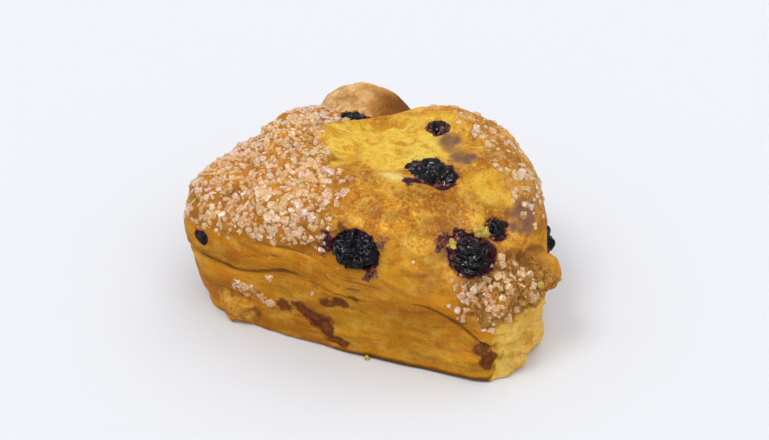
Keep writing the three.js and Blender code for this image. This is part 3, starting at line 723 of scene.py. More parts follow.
def crust_block():
    """A unit block, cut as finely as the crust needs along each side."""
    bm = bmesh.new()
    bmesh.ops.create_cube(bm, size=1.0)
    for axis in range(3):
        steps = round((SKIN_HIGH - SKIN_LOW)[axis] / CRUST_SPACING)
        along = [e for e in bm.edges if abs((e.verts[0].co - e.verts[1].co)[axis]) > 1e-4]
        bmesh.ops.subdivide_edges(bm, edges=along, cuts=steps - 1, use_grid_fill=True)
    return bm


def crust_mesh():
    bm = crust_block()
    points, way = skin_points(np.array([v.co[:] for v in bm.verts]) + 0.5)
    gap = berry_distance(*points.T)
    sunk = SOCKET.depth * ramp(*SOCKET.edge, gap) + SOCKET_DIP.depth * ramp(*SOCKET_DIP.edge, gap)
    points -= way * sunk[:, None]
    points[points[:, 2] < UNDERSIDE_FLAT, 2] = 0
    for vert, point in zip(bm.verts, points):
        vert.co = point
    underside = [f for f in bm.faces if all(v.co.z == 0 for v in f.verts)]
    bmesh.ops.dissolve_faces(bm, faces=underside, use_verts=True)
    bmesh.ops.recalc_face_normals(bm, faces=bm.faces)
    crust = piece_from(bm, "crust")
    mesh = crust.data
    shade_smooth(mesh)

    points, normal = points_of(mesh), normals_of(mesh)
    clear = ramp(-0.2, 1.0, berry_distance(*points.T))
    points += normal * (fine_relief(*points.T, normal) * clear)[:, None]
    points[:, 2] = np.maximum(points[:, 2], 0)
    set_points(mesh, points)
    mark_crust(mesh, points)
    set_points(mesh, (points + MIDDLE) * MM)
    return crust


def mark_crust(mesh, points):
    """What the crust's finish reads at each vertex."""
    normal = normals_of(mesh)
    x, y, z = points.T
    torn = torn_share(x, y, z)
    lip_crumb = PALE_LIP.crumb * bell(oval(x, y, PALE_LIP.at, PALE_LIP.crumb_radii))
    lip = bell(oval(x, y, PALE_LIP.at, PALE_LIP.radii)) * ramp(*CROWN_ONLY, z)
    ragged = lumps(x, y, z, BLOB_EDGE_LUMPS)
    melted = 0.8 * blob_share(GLAZES, x, y, z, 1.2 * ragged)
    driest = ramp(*DRIEST.across, x + DRIEST.wander * lump(x, y, z, 4, 9.4))
    driest = DRIEST.least + (1 - DRIEST.least) * driest
    # How far each vertex lies in a small or a wide hollow, where the finish paints shade.
    fine = FINE_GAIN * hollowness(mesh, points, normal, FINE_ROUNDS)
    wide = WIDE_GAIN * hollowness(mesh, points, normal, WIDE_ROUNDS)
    marks = {
        "torn": np.maximum(torn, lip_crumb * (z > CROWN_ONLY[0])),
        "pale": lip,
        "dry": crumb_end_share(x, y, z) * driest,
        "stain": blob_share(STAINS, x, y, z, ragged),
        "smear": blob_share(SMEARS, x, y, z, ragged),
        "blush": blob_share(BLUSHES, x, y, z, 1.3 * ragged),
        "juice": juice_share(x, y, z),
        "glaze": np.maximum(sugar_cover(x, y, z), melted) * (1 - torn),
        "fine_hollow": np.clip(fine, -1, 1),
        "wide_hollow": np.clip(wide, -1, 1),
        "broken": rough_crag_share(x, y, z),
        "rough": rough_share(x, y, z, normal),
        # Dark baking, with painted contact shadow along the lowest rim.
        "baked": bake_and_shadow_share(x, y, z),
        "tan": tan_share(x, y, z),
    }
    for name, values in marks.items():
        keep_on(mesh, name, values)


# ---------------------------------------------------------------- finishes


class Finish:
    """A material and short ways to wire its nodes."""

    def __init__(self, name):
        self.material = bpy.data.materials.new(name)
        self.material.use_nodes = True
        self.tree = self.material.node_tree
        self.surface = self.tree.nodes["Principled BSDF"]
        self.coordinates = self.tree.nodes.new("ShaderNodeTexCoord").outputs["Object"]

    def link(self, source, target):
        if hasattr(source, "is_linked"):
            self.tree.links.new(source, target)
        else:
            target.default_value = source

    def give(self, name, value):
        """Set or link one input of the surface."""
        self.link(value, self.surface.inputs[name])

    def pattern(self, kind, scale):
        """A texture node on the object's own coordinates."""
        mapping = self.tree.nodes.new("ShaderNodeMapping")
        self.tree.links.new(self.coordinates, mapping.inputs["Vector"])
        mapping.inputs["Scale"].default_value = scale
        node = self.tree.nodes.new(kind)
        self.tree.links.new(mapping.outputs["Vector"], node.inputs["Vector"])
        node.inputs["Scale"].default_value = 1.0
        return node

    def noise(self, size_mm, detail=2.0, roughness=0.5, stretch=(1, 1, 1), distortion=0.0):
        node = self.pattern("ShaderNodeTexNoise", [s / (size_mm * MM) for s in stretch])
        node.inputs["Detail"].default_value = detail
        node.inputs["Roughness"].default_value = roughness
        node.inputs["Distortion"].default_value = distortion
        return node.outputs["Fac"]

    def cells(self, size_mm, output="Distance"):
        node = self.pattern("ShaderNodeTexVoronoi", [1 / (size_mm * MM)] * 3)
        return node.outputs[output]

    def mark(self, name):
        """Values kept on the mesh's vertices."""
        node = self.tree.nodes.new("ShaderNodeAttribute")
        node.attribute_name = name
        return node.outputs["Fac"]

    def maths(self, operation, a, b, clamp=False):
        node = self.tree.nodes.new("ShaderNodeMath")
        node.operation = operation
        node.use_clamp = clamp
        self.link(a, node.inputs[0])
        self.link(b, node.inputs[1])
        return node.outputs[0]

    def times(self, a, b):
        return self.maths("MULTIPLY", a, b)

    def most(self, a, b):
        return self.maths("MAXIMUM", a, b)

    def spread(self, value, low, high, to_low=0.0, to_high=1.0):
        """The value brought smoothly from low..high to the other two."""
        node = self.tree.nodes.new("ShaderNodeMapRange")
        node.interpolation_type = "SMOOTHSTEP"
        self.link(value, node.inputs["Value"])
        ends = {"From Min": low, "From Max": high, "To Min": to_low, "To Max": to_high}
        for socket, number in ends.items():
            node.inputs[socket].default_value = number
        return node.outputs["Result"]

    def mix(self, share, a, b, blend="MIX"):
        node = self.tree.nodes.new("ShaderNodeMix")
        node.data_type = "RGBA"
        node.blend_type = blend
        self.link(share, node.inputs[0])
        for value, socket in ((a, node.inputs[6]), (b, node.inputs[7])):
            if isinstance(value, tuple):
                socket.default_value = (*value, 1)
            else:
                self.tree.links.new(value, socket)
        return node.outputs[2]

    def layered(self, colour, *layers):
        """A colour under others, each with the share that it covers."""
        for share, over in layers:
            colour = self.mix(share, colour, over)
        return colour

    def ragged(self, share, by, amount, low, high):
        """A share with its soft edge broken up by a noise."""
        wander = self.times(self.maths("SUBTRACT", by, 0.5), amount)
        return self.spread(self.maths("ADD", share, wander), low, high)

    def shaded(self, colour, by, low, high, to_low, to_high):
        """Lighter and darker by a noise."""
        return self.mix(1.0, colour, self.spread(by, low, high, to_low, to_high), blend="MULTIPLY")

    def bump(self, height, distance_mm, strength=1.0, under=None):
        node = self.tree.nodes.new("ShaderNodeBump")
        self.link(strength, node.inputs["Strength"])
        node.inputs["Distance"].default_value = distance_mm * MM
        self.link(height, node.inputs["Height"])
        if under is not None:
            self.tree.links.new(under, node.inputs["Normal"])
        return node.outputs["Normal"]


# Colours of the crust.
GOLD = (0.66, 0.290, 0.014)
LIGHT_GOLD = (0.80, 0.44, 0.060)
HONEY_GOLD = (0.88, 0.47, 0.060)
SPECKLED = (0.92, 0.58, 0.12)
AMBER = (0.56, 0.198, 0.008)
RUSSET = (0.36, 0.105, 0.016)
# Brown for streaks on the walls, and painted shade in wide dips.
BROWN = (0.25, 0.080, 0.014)
RED_BROWN = (0.30, 0.080, 0.022)
# Darkest baking, and painted contact shadow along the lowest rim.
DARK_BROWN = (0.115, 0.032, 0.004)
# Painted shade in the crust's small hollows and creases.
CREASE_SHADE = (0.25, 0.092, 0.012)
TAN = (0.70, 0.40, 0.135)
DEEP_TAN = (0.56, 0.265, 0.062)
LIGHT_TAN = (0.86, 0.56, 0.27)
SUGARED = (0.56, 0.20, 0.012)
MELTED = (0.94, 0.60, 0.28)
EMBER = (0.42, 0.125, 0.022)
HONEY = (0.78, 0.36, 0.080)

# Colours of the torn crumb.
CRUMB = (0.94, 0.63, 0.080)
# Gold patches and specks of crumb, and painted shade in the crumb's wide hollows.
CRUMB_GOLD = (0.86, 0.43, 0.026)
CRUMB_DEEP = (0.72, 0.31, 0.018)
CRUMB_EDGE = (0.76, 0.36, 0.022)
CRUMB_PALE = (0.95, 0.74, 0.22)
# Dark crumb specks, and painted shade in the crumb's small hollows.
CRUMB_SPECK_AND_SHADE = (0.50, 0.24, 0.026)
DRY_CRUMB = (0.95, 0.58, 0.15)
LOOSE_BROWN = (0.52, 0.36, 0.06)
LOOSE_BUFF = (0.76, 0.50, 0.10)

# Colours of the juice and the berries.
JUICE = (0.075, 0.013, 0.006)
SOAKED = (0.20, 0.056, 0.011)
SMEARED = (0.26, 0.12, 0.065)
MAROON = (0.10, 0.018, 0.028)
DARK_JUICE = (0.018, 0.005, 0.009)
PINKISH = (0.30, 0.125, 0.085)
BERRY_SKIN = (0.004, 0.0035, 0.005)
BERRY_BLOOM = (0.050, 0.054, 0.078)
BERRY_PULP = (0.060, 0.008, 0.024)
# Painted shade in the folds of the berry skin.
BERRY_FOLD_SHADE = (0.004, 0.002, 0.004)

# Colours of the sugar.
SUGAR_CLEAR = (0.88, 0.64, 0.48)
SUGAR_AMBER = (0.78, 0.43, 0.17)
SUGAR_HONEY = (0.90, 0.60, 0.22)
SUGAR_WHITE = (0.98, 0.92, 0.86)
SUGAR_MELTING = (0.80, 0.36, 0.04)


class CrustFinish(Finish):
    """Baked crust, torn crumb and juice, laid over one another by the marks on the mesh."""

    def __init__(self):
        super().__init__("baked_crust")
        self.torn, self.pale, self.dry = self.mark("torn"), self.mark("pale"), self.mark("dry")
        self.stain, self.smear, self.juice = self.mark("stain"), self.mark("smear"), self.mark("juice")
        # The baked mark holds dark baking and painted contact shadow along the lowest rim.
        self.glaze, self.blush, self.baked = self.mark("glaze"), self.mark("blush"), self.mark("baked")
        self.broken, self.rough, self.tan = self.mark("broken"), self.mark("rough"), self.mark("tan")
        self.fine, self.wide = self.mark("fine_hollow"), self.mark("wide_hollow")
        self.patches, self.specks = self.noise(5.0, 3, 0.6), self.noise(1.5, 4, 0.7)
        self.flecks, self.grain = self.noise(0.9, 3, 0.7), self.noise(0.55, 3, 0.7)
        self.flake = self.sugar_flakes()

    def sugar_flakes(self):
        """Flat scales of melted sugar among the grains, none on the torn crumb."""
        scale, some = self.cells(1.7), self.cells(1.7, output="Color")
        flake = self.times(self.spread(scale, 0.55, 0.40), self.spread(some, 0.40, 0.50))
        flake = self.times(flake, self.ragged(self.glaze, self.specks, 1.0, 0.2, 0.9))
        return self.times(flake, self.spread(self.torn, 0.1, 0.5, 1, 0))

    def golden(self):
        """The plain baked crust, streaked on the walls, tan and speckled higher up."""
        clouds, glow = self.noise(15, 3, 0.55), self.noise(8.0, 3, 0.6, distortion=0.8)
        streaks = self.noise(2.2, 3, 0.6, stretch=(0.2, 0.2, 1.0))
        lighter = self.spread(self.patches, 0.46, 0.66)
        lighter = self.times(lighter, self.spread(self.rough, 0, 1, 0.45, 0.85))
        mottled = self.mix(self.spread(self.patches, 0.40, 0.62), DEEP_TAN, LIGHT_TAN)
        dry_skin = self.mix(self.spread(self.specks, 0.44, 0.60), mottled, TAN)
        return self.layered(
            self.mix(self.spread(clouds, 0.38, 0.62), AMBER, GOLD),
            (lighter, LIGHT_GOLD),
            (self.spread(streaks, 0.50, 0.70, 0, 0.45), BROWN),
            (self.tan, dry_skin),
            (self.times(self.rough, self.spread(glow, 0.52, 0.62, 0, 0.85)), HONEY_GOLD),
            (self.times(self.rough, self.spread(glow, 0.47, 0.37, 0, 0.75)), RUSSET),
        )

    def sugared(self, colour):
        """The crust under melted sugar, with light and dark specks and reddish patches."""
        dark = self.spread(self.specks, 0.50, 0.38, 0, 0.6)
        redder = self.most(self.times(self.glaze, 0.55), self.times(self.broken, 0.9))
        redder = self.times(redder, self.spread(self.patches, 0.42, 0.60))
        redder = self.most(redder, self.times(self.blush, 0.85))
        return self.layered(
            colour,
            (self.times(self.glaze, 0.75), SUGARED),
            (self.times(self.rough, self.spread(self.flecks, 0.50, 0.64, 0, 0.5)), SPECKLED),
            (self.times(dark, self.spread(self.rough, 0, 1, 0.35, 1)), RUSSET),
            (self.times(redder, self.spread(self.specks, 0.36, 0.58, 0.25, 0.9)), RED_BROWN),
            (self.times(self.flake, 0.75), MELTED),
        )

    def broken_up(self, colour):
        """The glazed crags with crumb showing in them, what baked darkest and painted shadow at the
        lowest rim.
        """
        glazed = self.mix(self.spread(self.specks, 0.40, 0.58), EMBER, HONEY)
        # Dark baking, and painted contact shadow along the lowest rim.
        burnt_and_shadow = self.ragged(self.baked, self.specks, 0.8, 0.25, 0.95)
        return self.layered(
            colour,
            (self.times(self.broken, 0.75), glazed),
            (self.times(self.broken, self.spread(self.flecks, 0.54, 0.62, 0, 0.8)), CRUMB),
            (self.times(burnt_and_shadow, 0.85), DARK_BROWN),
        )

    def shade_bands_and_freckles(self, colour):
        """Painted shade in the creases and dips, darker walls, bands along the walls and a few
        freckles.
        """
        intact = self.spread(self.broken, 0, 1, 1.0, 0.45)
        # Painted shade in small hollows and wide dips, weaker on the broken crags.
        colour = self.layered(
            colour,
            (self.times(self.spread(self.fine, 0.08, 0.6, 0, 0.75), intact), CREASE_SHADE),
            (self.times(self.spread(self.wide, 0.25, 0.9, 0, 0.5), intact), BROWN),
        )
        # The walls and all else that is neither crown, foot nor tan skin are darker: partly the
        # crust's own tone, partly painted shade for light that falls from above.
        colour = self.shaded(colour, self.most(self.rough, self.tan), 0, 1, 0.84, 1.0)
        bands = self.noise(5.0, 4, 0.6, stretch=(0.25, 0.25, 1.0), distortion=0.5)
        colour = self.shaded(colour, bands, 0.36, 0.62, 0.80, 1.12)
        freckles = self.spread(self.flecks, 0.38, 0.30)
        freckles = self.times(freckles, self.spread(self.rough, 0, 1, 0.6, 0.3))
        return self.mix(freckles, colour, RUSSET)

    def crumb(self):
        """The torn crumb: paler on its lip, drier and crusty at the torn end, with painted shade in
        its hollows.
        """
        folds = self.noise(5.0, 3, 0.6, stretch=(0.6, 1.0, 1.0), distortion=1.4)
        # The crumb away from the dry torn end, where its small hollows get painted shade.
        moist = self.spread(self.dry, 0, 0.5, 1, 0)
        return self.layered(
            self.mix(self.spread(self.patches, 0.42, 0.66, 0, 0.6), CRUMB, CRUMB_GOLD),
            (self.spread(folds, 0.49, 0.62, 0, 0.8), CRUMB_DEEP),
            # Painted shade: the wide hollows more orange.
            (self.spread(self.wide, 0.1, 0.9, 0, 0.7), CRUMB_GOLD),
            (self.pale, CRUMB_PALE),
            (self.spread(self.specks, 0.50, 0.64, 0, 0.5), CRUMB_PALE),
            (self.spread(self.specks, 0.44, 0.34, 0, 0.45), CRUMB_GOLD),
            # Dark specks, then painted shade in the small hollows away from the dry torn end.
            (self.spread(self.grain, 0.42, 0.32, 0, 0.15), CRUMB_SPECK_AND_SHADE),
            (self.times(self.spread(self.fine, 0.2, 0.9, 0, 0.5), moist), CRUMB_SPECK_AND_SHADE),
            (self.spread(self.torn, 0.9, 0.35, 0, 0.75), CRUMB_EDGE),
            (self.times(self.dry, self.spread(self.specks, 0.38, 0.60, 0.35, 0.95)), DRY_CRUMB),
            (self.times(self.dry, self.spread(self.patches, 0.54, 0.66, 0, 0.8)), GOLD),
        )

    def juiced(self, colour):
        """Juice under the crust, juice soaked into it, and fresh juice with its paler rim."""
        soaked = self.mix(self.spread(self.specks, 0.40, 0.60), JUICE, SOAKED)
        wet = self.mix(self.spread(self.grain, 0.42, 0.58), DARK_JUICE, MAROON)
        rim = self.mix(self.spread(self.grain, 0.45, 0.60), MAROON, PINKISH)
        return self.layered(
            colour,
            (self.times(self.smear, self.spread(self.patches, 0.3, 0.6, 0.7, 1.0)), SMEARED),
            (self.times(self.ragged(self.stain, self.specks, 2.0, 0.18, 0.80), 0.95), soaked),
            (self.times(self.ragged(self.juice, self.specks, 1.6, 0.15, 0.50), 0.85), rim),
            (self.ragged(self.juice, self.specks, 1.6, 0.45, 0.75), wet),
        )

    def lay_colour(self):
        crust = self.shade_bands_and_freckles(self.broken_up(self.sugared(self.golden())))
        torn = self.ragged(self.torn, self.patches, 1.3, 0.08, 0.80)
        colour = self.juiced(self.mix(torn, crust, self.crumb()))
        self.give("Base Color", self.shaded(colour, self.grain, 0.34, 0.66, 0.90, 1.10))

    def lay_shine(self):
        """Dull crumb and crust, with a little shine on melted sugar and juice."""
        dull = self.spread(self.specks, 0.35, 0.65, 0.50, 0.72)
        gloss = self.most(self.times(self.glaze, 0.7), self.juice)
        shine = self.maths("SUBTRACT", dull, self.times(gloss, 0.3))
        self.give("Roughness", self.maths("ADD", shine, self.times(self.torn, 0.2), clamp=True))
        self.give("Specular IOR Level", 0.05)
        self.give("Subsurface Weight", 0.10)
        self.give("Subsurface Radius", (1.0, 0.45, 0.12))
        self.give("Subsurface Scale", 1.0 * MM)

    def lay_bumps(self):
        skin = self.times(self.most(self.rough, self.tan), 0.6)
        crumbly = self.maths("ADD", skin, self.most(self.torn, self.broken), clamp=True)
        strength = self.spread(crumbly, 0, 1, 0.30, 0.9)
        bumps = self.bump(self.specks, 1.3, strength)
        bumps = self.bump(self.cells(1.1), 0.5, self.times(self.broken, 0.7), under=bumps)
        bumps = self.bump(self.flake, 0.4, 0.7, under=bumps)
        self.give("Normal", self.bump(self.grain, 0.5, strength, under=bumps))


def crust_finish():
    f = CrustFinish()
    f.lay_colour()
    f.lay_shine()
    f.lay_bumps()
    return f.material


def berry_finish(name, burst):
    """Blue-black skin with some bloom and painted shade in its folds; a burst berry shows wet pulp
    instead.
    """
    f = Finish(name)
    patches, specks = f.noise(3.4, 3, 0.6), f.noise(1.2, 4, 0.7)
    folds, dimples = f.noise(2.2, 2, 0.5, distortion=1.6), f.noise(1.0, 1, 0.4)
    colour = f.layered(
        BERRY_SKIN,
        (f.spread(patches, 0.54, 0.70, 0, 0.1 if burst else 0.5), BERRY_BLOOM),
        (f.spread(specks, 0.54, 0.68, 0, 0.45 if burst else 0.15), BERRY_PULP),
    )
    if burst:
        wet = f.mix(f.spread(f.noise(0.45, 3, 0.7), 0.45, 0.62), MAROON, PINKISH)
        pulpy = f.ragged(f.mark("pulpy"), specks, 1.6, 0.35, 0.85)
        colour = f.mix(f.times(pulpy, f.spread(specks, 0.42, 0.54, 0.25, 1)), colour, wet)
    # Painted shade in the folds of the skin.
    colour = f.mix(f.spread(f.mark("fine_hollow"), 0.05, 0.6, 0, 0.85), colour, BERRY_FOLD_SHADE)
    f.give("Base Color", colour)
    f.give("Roughness", f.spread(specks, 0.38, 0.62, 0.05, 0.17))
    f.give("Normal", f.bump(dimples, 0.3, under=f.bump(folds, 0.9)))
    f.give("Specular IOR Level", 0.12)
    return f.material


def sugar_finish():
    """Clear to amber crystals, melting where they sit in the crust."""
    f = Finish("coarse_sugar")
    clouds, specks = f.noise(6, 2), f.noise(0.5, 2, 0.6)
    colour = f.layered(
        f.mix(f.spread(f.mark("tint"), 0.1, 1.0), SUGAR_CLEAR, SUGAR_AMBER),
        (f.spread(clouds, 0.4, 0.65, 0, 0.6), SUGAR_HONEY),
        (f.spread(specks, 0.52, 0.66, 0, 0.45), SUGAR_WHITE),
        (f.times(f.mark("low"), 0.9), SUGAR_MELTING),
    )
    f.give("Base Color", colour)
    f.give("Roughness", f.spread(specks, 0.3, 0.7, 0.12, 0.32))
    f.give("Normal", f.bump(specks, 0.2, 0.8))
    f.give("Specular IOR Level", 0.4)
    f.give("Transmission Weight", 0.30)
    f.give("IOR", 1.35)
    f.give("Subsurface Weight", 0.5)
    f.give("Subsurface Radius", (1.0, 0.75, 0.55))
    f.give("Subsurface Scale", 1.0 * MM)
    return f.material


def loose_crumb_finish():
    f = Finish("torn_crumb")
    specks, grain = f.noise(1.2, 3, 0.6), f.noise(0.45, 3, 0.7)
    colour = f.mix(f.spread(specks, 0.42, 0.60), LOOSE_BROWN, LOOSE_BUFF)
    f.give("Base Color", f.shaded(colour, grain, 0.34, 0.66, 0.7, 1.15))
    f.give("Normal", f.bump(grain, 0.4, 0.8))
    f.give("Roughness", 0.8)
    f.give("Specular IOR Level", 0.1)
    return f.material


# ---------------------------------------------------------------- berries

BERRY_ROUNDS, BERRY_GAIN = 8, 3.0  # rounds of smoothing that tell a fold of the skin


def berry_relief(way, seed, burst):
    """How far a berry's skin stands out, as a share of its radii: torn pulp where it has
    burst, and otherwise wrinkles with a dent across the top."""
    x, y, z = way.T
    broad = lump(x, y, z, 0.6, seed + 3.1)
    narrow = lump(x, y, z, 0.28, seed + 7.7)
    small = lump(x, y, z, 0.15, seed + 1.7)
    if burst:
        return 0.20 * broad + 0.26 * np.abs(narrow) + 0.12 * np.abs(small) - 0.12
    wrinkles = 0.17 * bell(broad / 0.22) + 0.15 * bell(narrow / 0.22)
    dent = 0.16 * bell((x - 0.12) / 0.13) * ramp(0.1, 0.7, z)
    return 0.07 + 0.07 * small + 0.06 * narrow - wrinkles - dent


def berry_piece(name, form):
    bm = bmesh.new()
    bmesh.ops.create_icosphere(bm, subdivisions=form.cuts, radius=1.0)
    way = np.array([v.co[:] for v in bm.verts])
    way /= np.linalg.norm(way, axis=1)[:, None]
    seed = form.at[0]
    reach = 1 + form.ragged * lump(*way.T, 0.7, seed) + berry_relief(way, seed, form.burst)
    points = np.array(form.at) + way * np.array(form.radii) * reach[:, None]
    for vert, point in zip(bm.verts, points):
        vert.co = point
    bmesh.ops.recalc_face_normals(bm, faces=bm.faces)
    piece = piece_from(bm, name + "_skin")
    mesh = piece.data
    shade_smooth(mesh)
    # How deep each vertex lies in a fold, where the finish paints shade.
    cavity = hollowness(mesh, points, normals_of(mesh), BERRY_ROUNDS)
    keep_on(mesh, "fine_hollow", np.clip(BERRY_GAIN * cavity, -1, 1))
    above = dough(*points.T) + 0.6 * lump(*points.T, 1.5, 2.7)
    keep_on(mesh, "pulpy", ramp(form.burst + 0.01, -0.3, above))
    set_points(mesh, (points + MIDDLE) * MM)
    return piece


# ---------------------------------------------------------------- sugar

SUGAR_SEED = 41
SAMPLE_TRIES = 8  # places drawn for each grain wanted, as some lie too close together
GRAIN_BEVEL = 0.16
GRAIN_SHAPE = np.array([1.1, 0.95, 0.68])  # a grain's sides, as shares of its size
GRAIN_SHAPE_SPREAD = 0.14
GRAIN_CORNER_SPREAD = 0.06
GRAIN_SIZE_SPREAD = 0.3
GRAIN_LEAN = 0.28
GRAIN_SUNK = 0.72

# Single grains on the front side.
STRAY_GRAINS = [
    (-15.6, -32.7, 20.0), (-2.6, -32.2, 18.1), (-24.1, -32.8, 14.4), (25.7, -27.4, 34.7),
]
STRAY_REACH = (0.7, 0.7, 0.7)
STRAY_WEIGHT = 12.0

# The coarse grains lie in patches, thinner low on the tip, with a few strayed high up anywhere.
PATCHES = Values(edge=(-0.45, 0.35), least=0.08, lumps=((1.0, 5.5, 9.3), (0.3, 2.5, 1.3)))
TIP_THINNING = Values(share=0.35, across=(-15, -30), height=(40, 34))
STRAYED = Values(cover=0.001, height=(18, 26))
COARSE_CLEAR, FINE_CLEAR = (0.8, 3.2), (0.2, 0.8)  # how far the grains keep from the berries
LOWEST_GRAIN = 1


def sugar_weight(x, y, z):
    """Where the coarse grains lie; a few have strayed over the rest."""
    clear = ramp(*COARSE_CLEAR, berry_distance(x, y, z)) * (z > LOWEST_GRAIN)
    patchy = ramp(*PATCHES.edge, lumps(x, y, z, PATCHES.lumps))
    patchy = PATCHES.least + (1 - PATCHES.least) * patchy
    thinned = TIP_THINNING.share * ramp(*TIP_THINNING.across, x) * ramp(*TIP_THINNING.height, z)
    cover = sugar_cover(x, y, z) * patchy * (1 - thinned)
    cover = np.maximum(cover, STRAYED.cover * ramp(*STRAYED.height, z))
    cover = cover * (1 - knob_share(x, y, z))
    for at in STRAY_GRAINS:
        cover = np.maximum(cover, STRAY_WEIGHT * (egg(x, y, z, at, STRAY_REACH) < 0))
    return cover * clear * (1 - torn_share(x, y, z))


def fine_sugar_weight(x, y, z):
    """Fine sugar lies among the coarse grains and in the glaze round them."""
    clear = ramp(*FINE_CLEAR, berry_distance(x, y, z)) * (z > LOWEST_GRAIN)
    return sugar_cover(x, y, z) * clear * (1 - torn_share(x, y, z))


# Each kind of grain: its piece, where it lies, how many, how far apart, and the usual, least
# and greatest size.
SUGAR_KINDS = (
    ("coarse_sugar_grains", sugar_weight, 560, 1.45, 1.8, 1.0, 2.9),
    ("fine_sugar_grains", fine_sugar_weight, 850, 0.8, 0.8, 0.5, 1.15),
)


def grain_form():
    """One sugar crystal: a small block with its edges taken off."""
    bm = bmesh.new()
    bmesh.ops.create_cube(bm, size=1.0)
    bmesh.ops.bevel(
        bm, geom=bm.edges[:], offset=GRAIN_BEVEL, offset_type="OFFSET", affect="EDGES",
        segments=1, profile=0.5, material=-1,
    )
    bmesh.ops.triangulate(bm, faces=bm.faces)
    bm.verts.index_update()
    points = np.array([v.co[:] for v in bm.verts])
    faces = np.array([[v.index for v in f.verts] for f in bm.faces])
    bm.free()
    return points, faces


def kept_apart(points, spacing, count):
    """The first points, up to that count, that lie a spacing from all those kept before."""
    kept, cells = [], {}
    for i, p in enumerate(points):
        cell = tuple((p // spacing).astype(int))
        near = [
            j
            for dx in (-1, 0, 1)
            for dy in (-1, 0, 1)
            for dz in (-1, 0, 1)
            for j in cells.get((cell[0] + dx, cell[1] + dy, cell[2] + dz), ())
        ]
        if all(np.sum((points[j] - p) ** 2) > spacing**2 for j in near):
            cells.setdefault(cell, []).append(i)
            kept.append(i)
            if len(kept) == count:
                break
    return kept


def surface_samples(mesh, weight, count, spacing, rng):
    """Random points of a mesh in millimetres, drawn by weight and kept apart."""
    mesh.calc_loop_triangles()
    flat = np.empty(len(mesh.loop_triangles) * 3, np.int32)
    mesh.loop_triangles.foreach_get("vertices", flat)
    corners = points_of(mesh)[flat.reshape(-1, 3)] / MM - MIDDLE
    cross = np.cross(corners[:, 1] - corners[:, 0], corners[:, 2] - corners[:, 0])
    area = np.linalg.norm(cross, axis=1) / 2
    chance = np.cumsum(area * weight(*corners.mean(1).T))
    tries = count * SAMPLE_TRIES
    picked = np.searchsorted(chance, rng.random(tries) * chance[-1])
    u, v = rng.random(tries), rng.random(tries)
    over = u + v > 1
    u[over], v[over] = 1 - u[over], 1 - v[over]
    a, b, c = corners[picked].transpose(1, 0, 2)
    points = a + u[:, None] * (b - a) + v[:, None] * (c - a)
    normal = cross[picked] / (2 * area[picked, None])
    kept = kept_apart(points, spacing, count)
    return points[kept], normal[kept]


def turns(normal, rng):
    """Random turns that stand each grain on its normal, a little tilted."""
    count = len(normal)
    lean = normal + GRAIN_LEAN * rng.normal(size=(count, 3))
    lean /= np.linalg.norm(lean, axis=1)[:, None]
    side = np.cross(lean, rng.normal(size=(count, 3)))
    side /= np.linalg.norm(side, axis=1)[:, None]
    return np.stack([side, np.cross(lean, side), lean], axis=2)


def scattered(name, places, normal, sizes, rng):
    """Many grains of one kind as one mesh."""
    form, faces = grain_form()
    count = len(places)
    shapes = GRAIN_SHAPE * (1 + GRAIN_SHAPE_SPREAD * rng.normal(size=(count, 1, 3)))
    corners = form[None] * shapes * sizes[:, None, None]
    uneven = rng.normal(size=(count, len(form), 3))
    corners += GRAIN_CORNER_SPREAD * sizes[:, None, None] * uneven
    corners = np.einsum("nij,nkj->nki", turns(normal, rng), corners)
    height = np.einsum("nki,ni->nk", corners, normal) / sizes[:, None]
    corners += (places + normal * (sizes * (0.5 - GRAIN_SUNK))[:, None])[:, None]
    every = faces[None] + (np.arange(count) * len(form))[:, None, None]
    mesh = bpy.data.meshes.new(name)
    corners = ((corners + MIDDLE) * MM).reshape(-1, 3)
    mesh.from_pydata(corners.tolist(), [], every.reshape(-1, 3).tolist())
    keep_on(mesh, "tint", np.repeat(rng.random(count), len(form)))
    keep_on(mesh, "low", ramp(0.35, -0.25, height).ravel())
    piece = bpy.data.objects.new(name, mesh)
    bpy.context.scene.collection.objects.link(piece)
    return piece


# ---------------------------------------------------------------- crumbs

# Crumbs of torn dough caught on the berries and the crags, and one by the foot: middle, size.
CRUMBS = [
    ((32.4, -18.6, 36.6), 1.3), ((36.6, -10.6, 36.6), 1.5), ((38.0, -9.4, 36.2), 1.1),
    ((39.6, -13.8, 33.4), 0.7), ((56.2, -6.2, 24.2), 0.9), ((54.8, -10.6, 25.0), 0.8),
    ((57.0, -3.0, 22.2), 0.8), ((13.4, -31.2, 0.5), 0.7),
]
CRUMB_CUTS = 4


def crumb_pieces():
    bm = bmesh.new()
    for number, (at, size) in enumerate(CRUMBS):
        made = bmesh.ops.create_icosphere(bm, subdivisions=CRUMB_CUTS, radius=1.0)
        way = np.array([v.co[:] for v in made["verts"]])
        layers = ((0.5, 0.9, number + 0.3), (0.25, 0.4, number + 5.2))
        reach = size * (1 + lumps(*way.T, layers))
        for vert, point in zip(made["verts"], np.array(at) + MIDDLE + way * reach[:, None]):
            vert.co = point * MM
    piece = piece_from(bm, "loose_crumbs")
    shade_smooth(piece.data)
    return piece


# ---------------------------------------------------------------- the scone

crust = crust_mesh()
crust.data.materials.append(crust_finish())
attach(crust, "root")
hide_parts("scone")

whole_skin, burst_skin = berry_finish("berry_skin", False), berry_finish("berry_burst", True)
for node, form in BERRIES.items():
    berry = berry_piece(node, form)
    berry.data.materials.append(burst_skin if form.burst else whole_skin)
    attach(berry, "root")
    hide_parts(node)

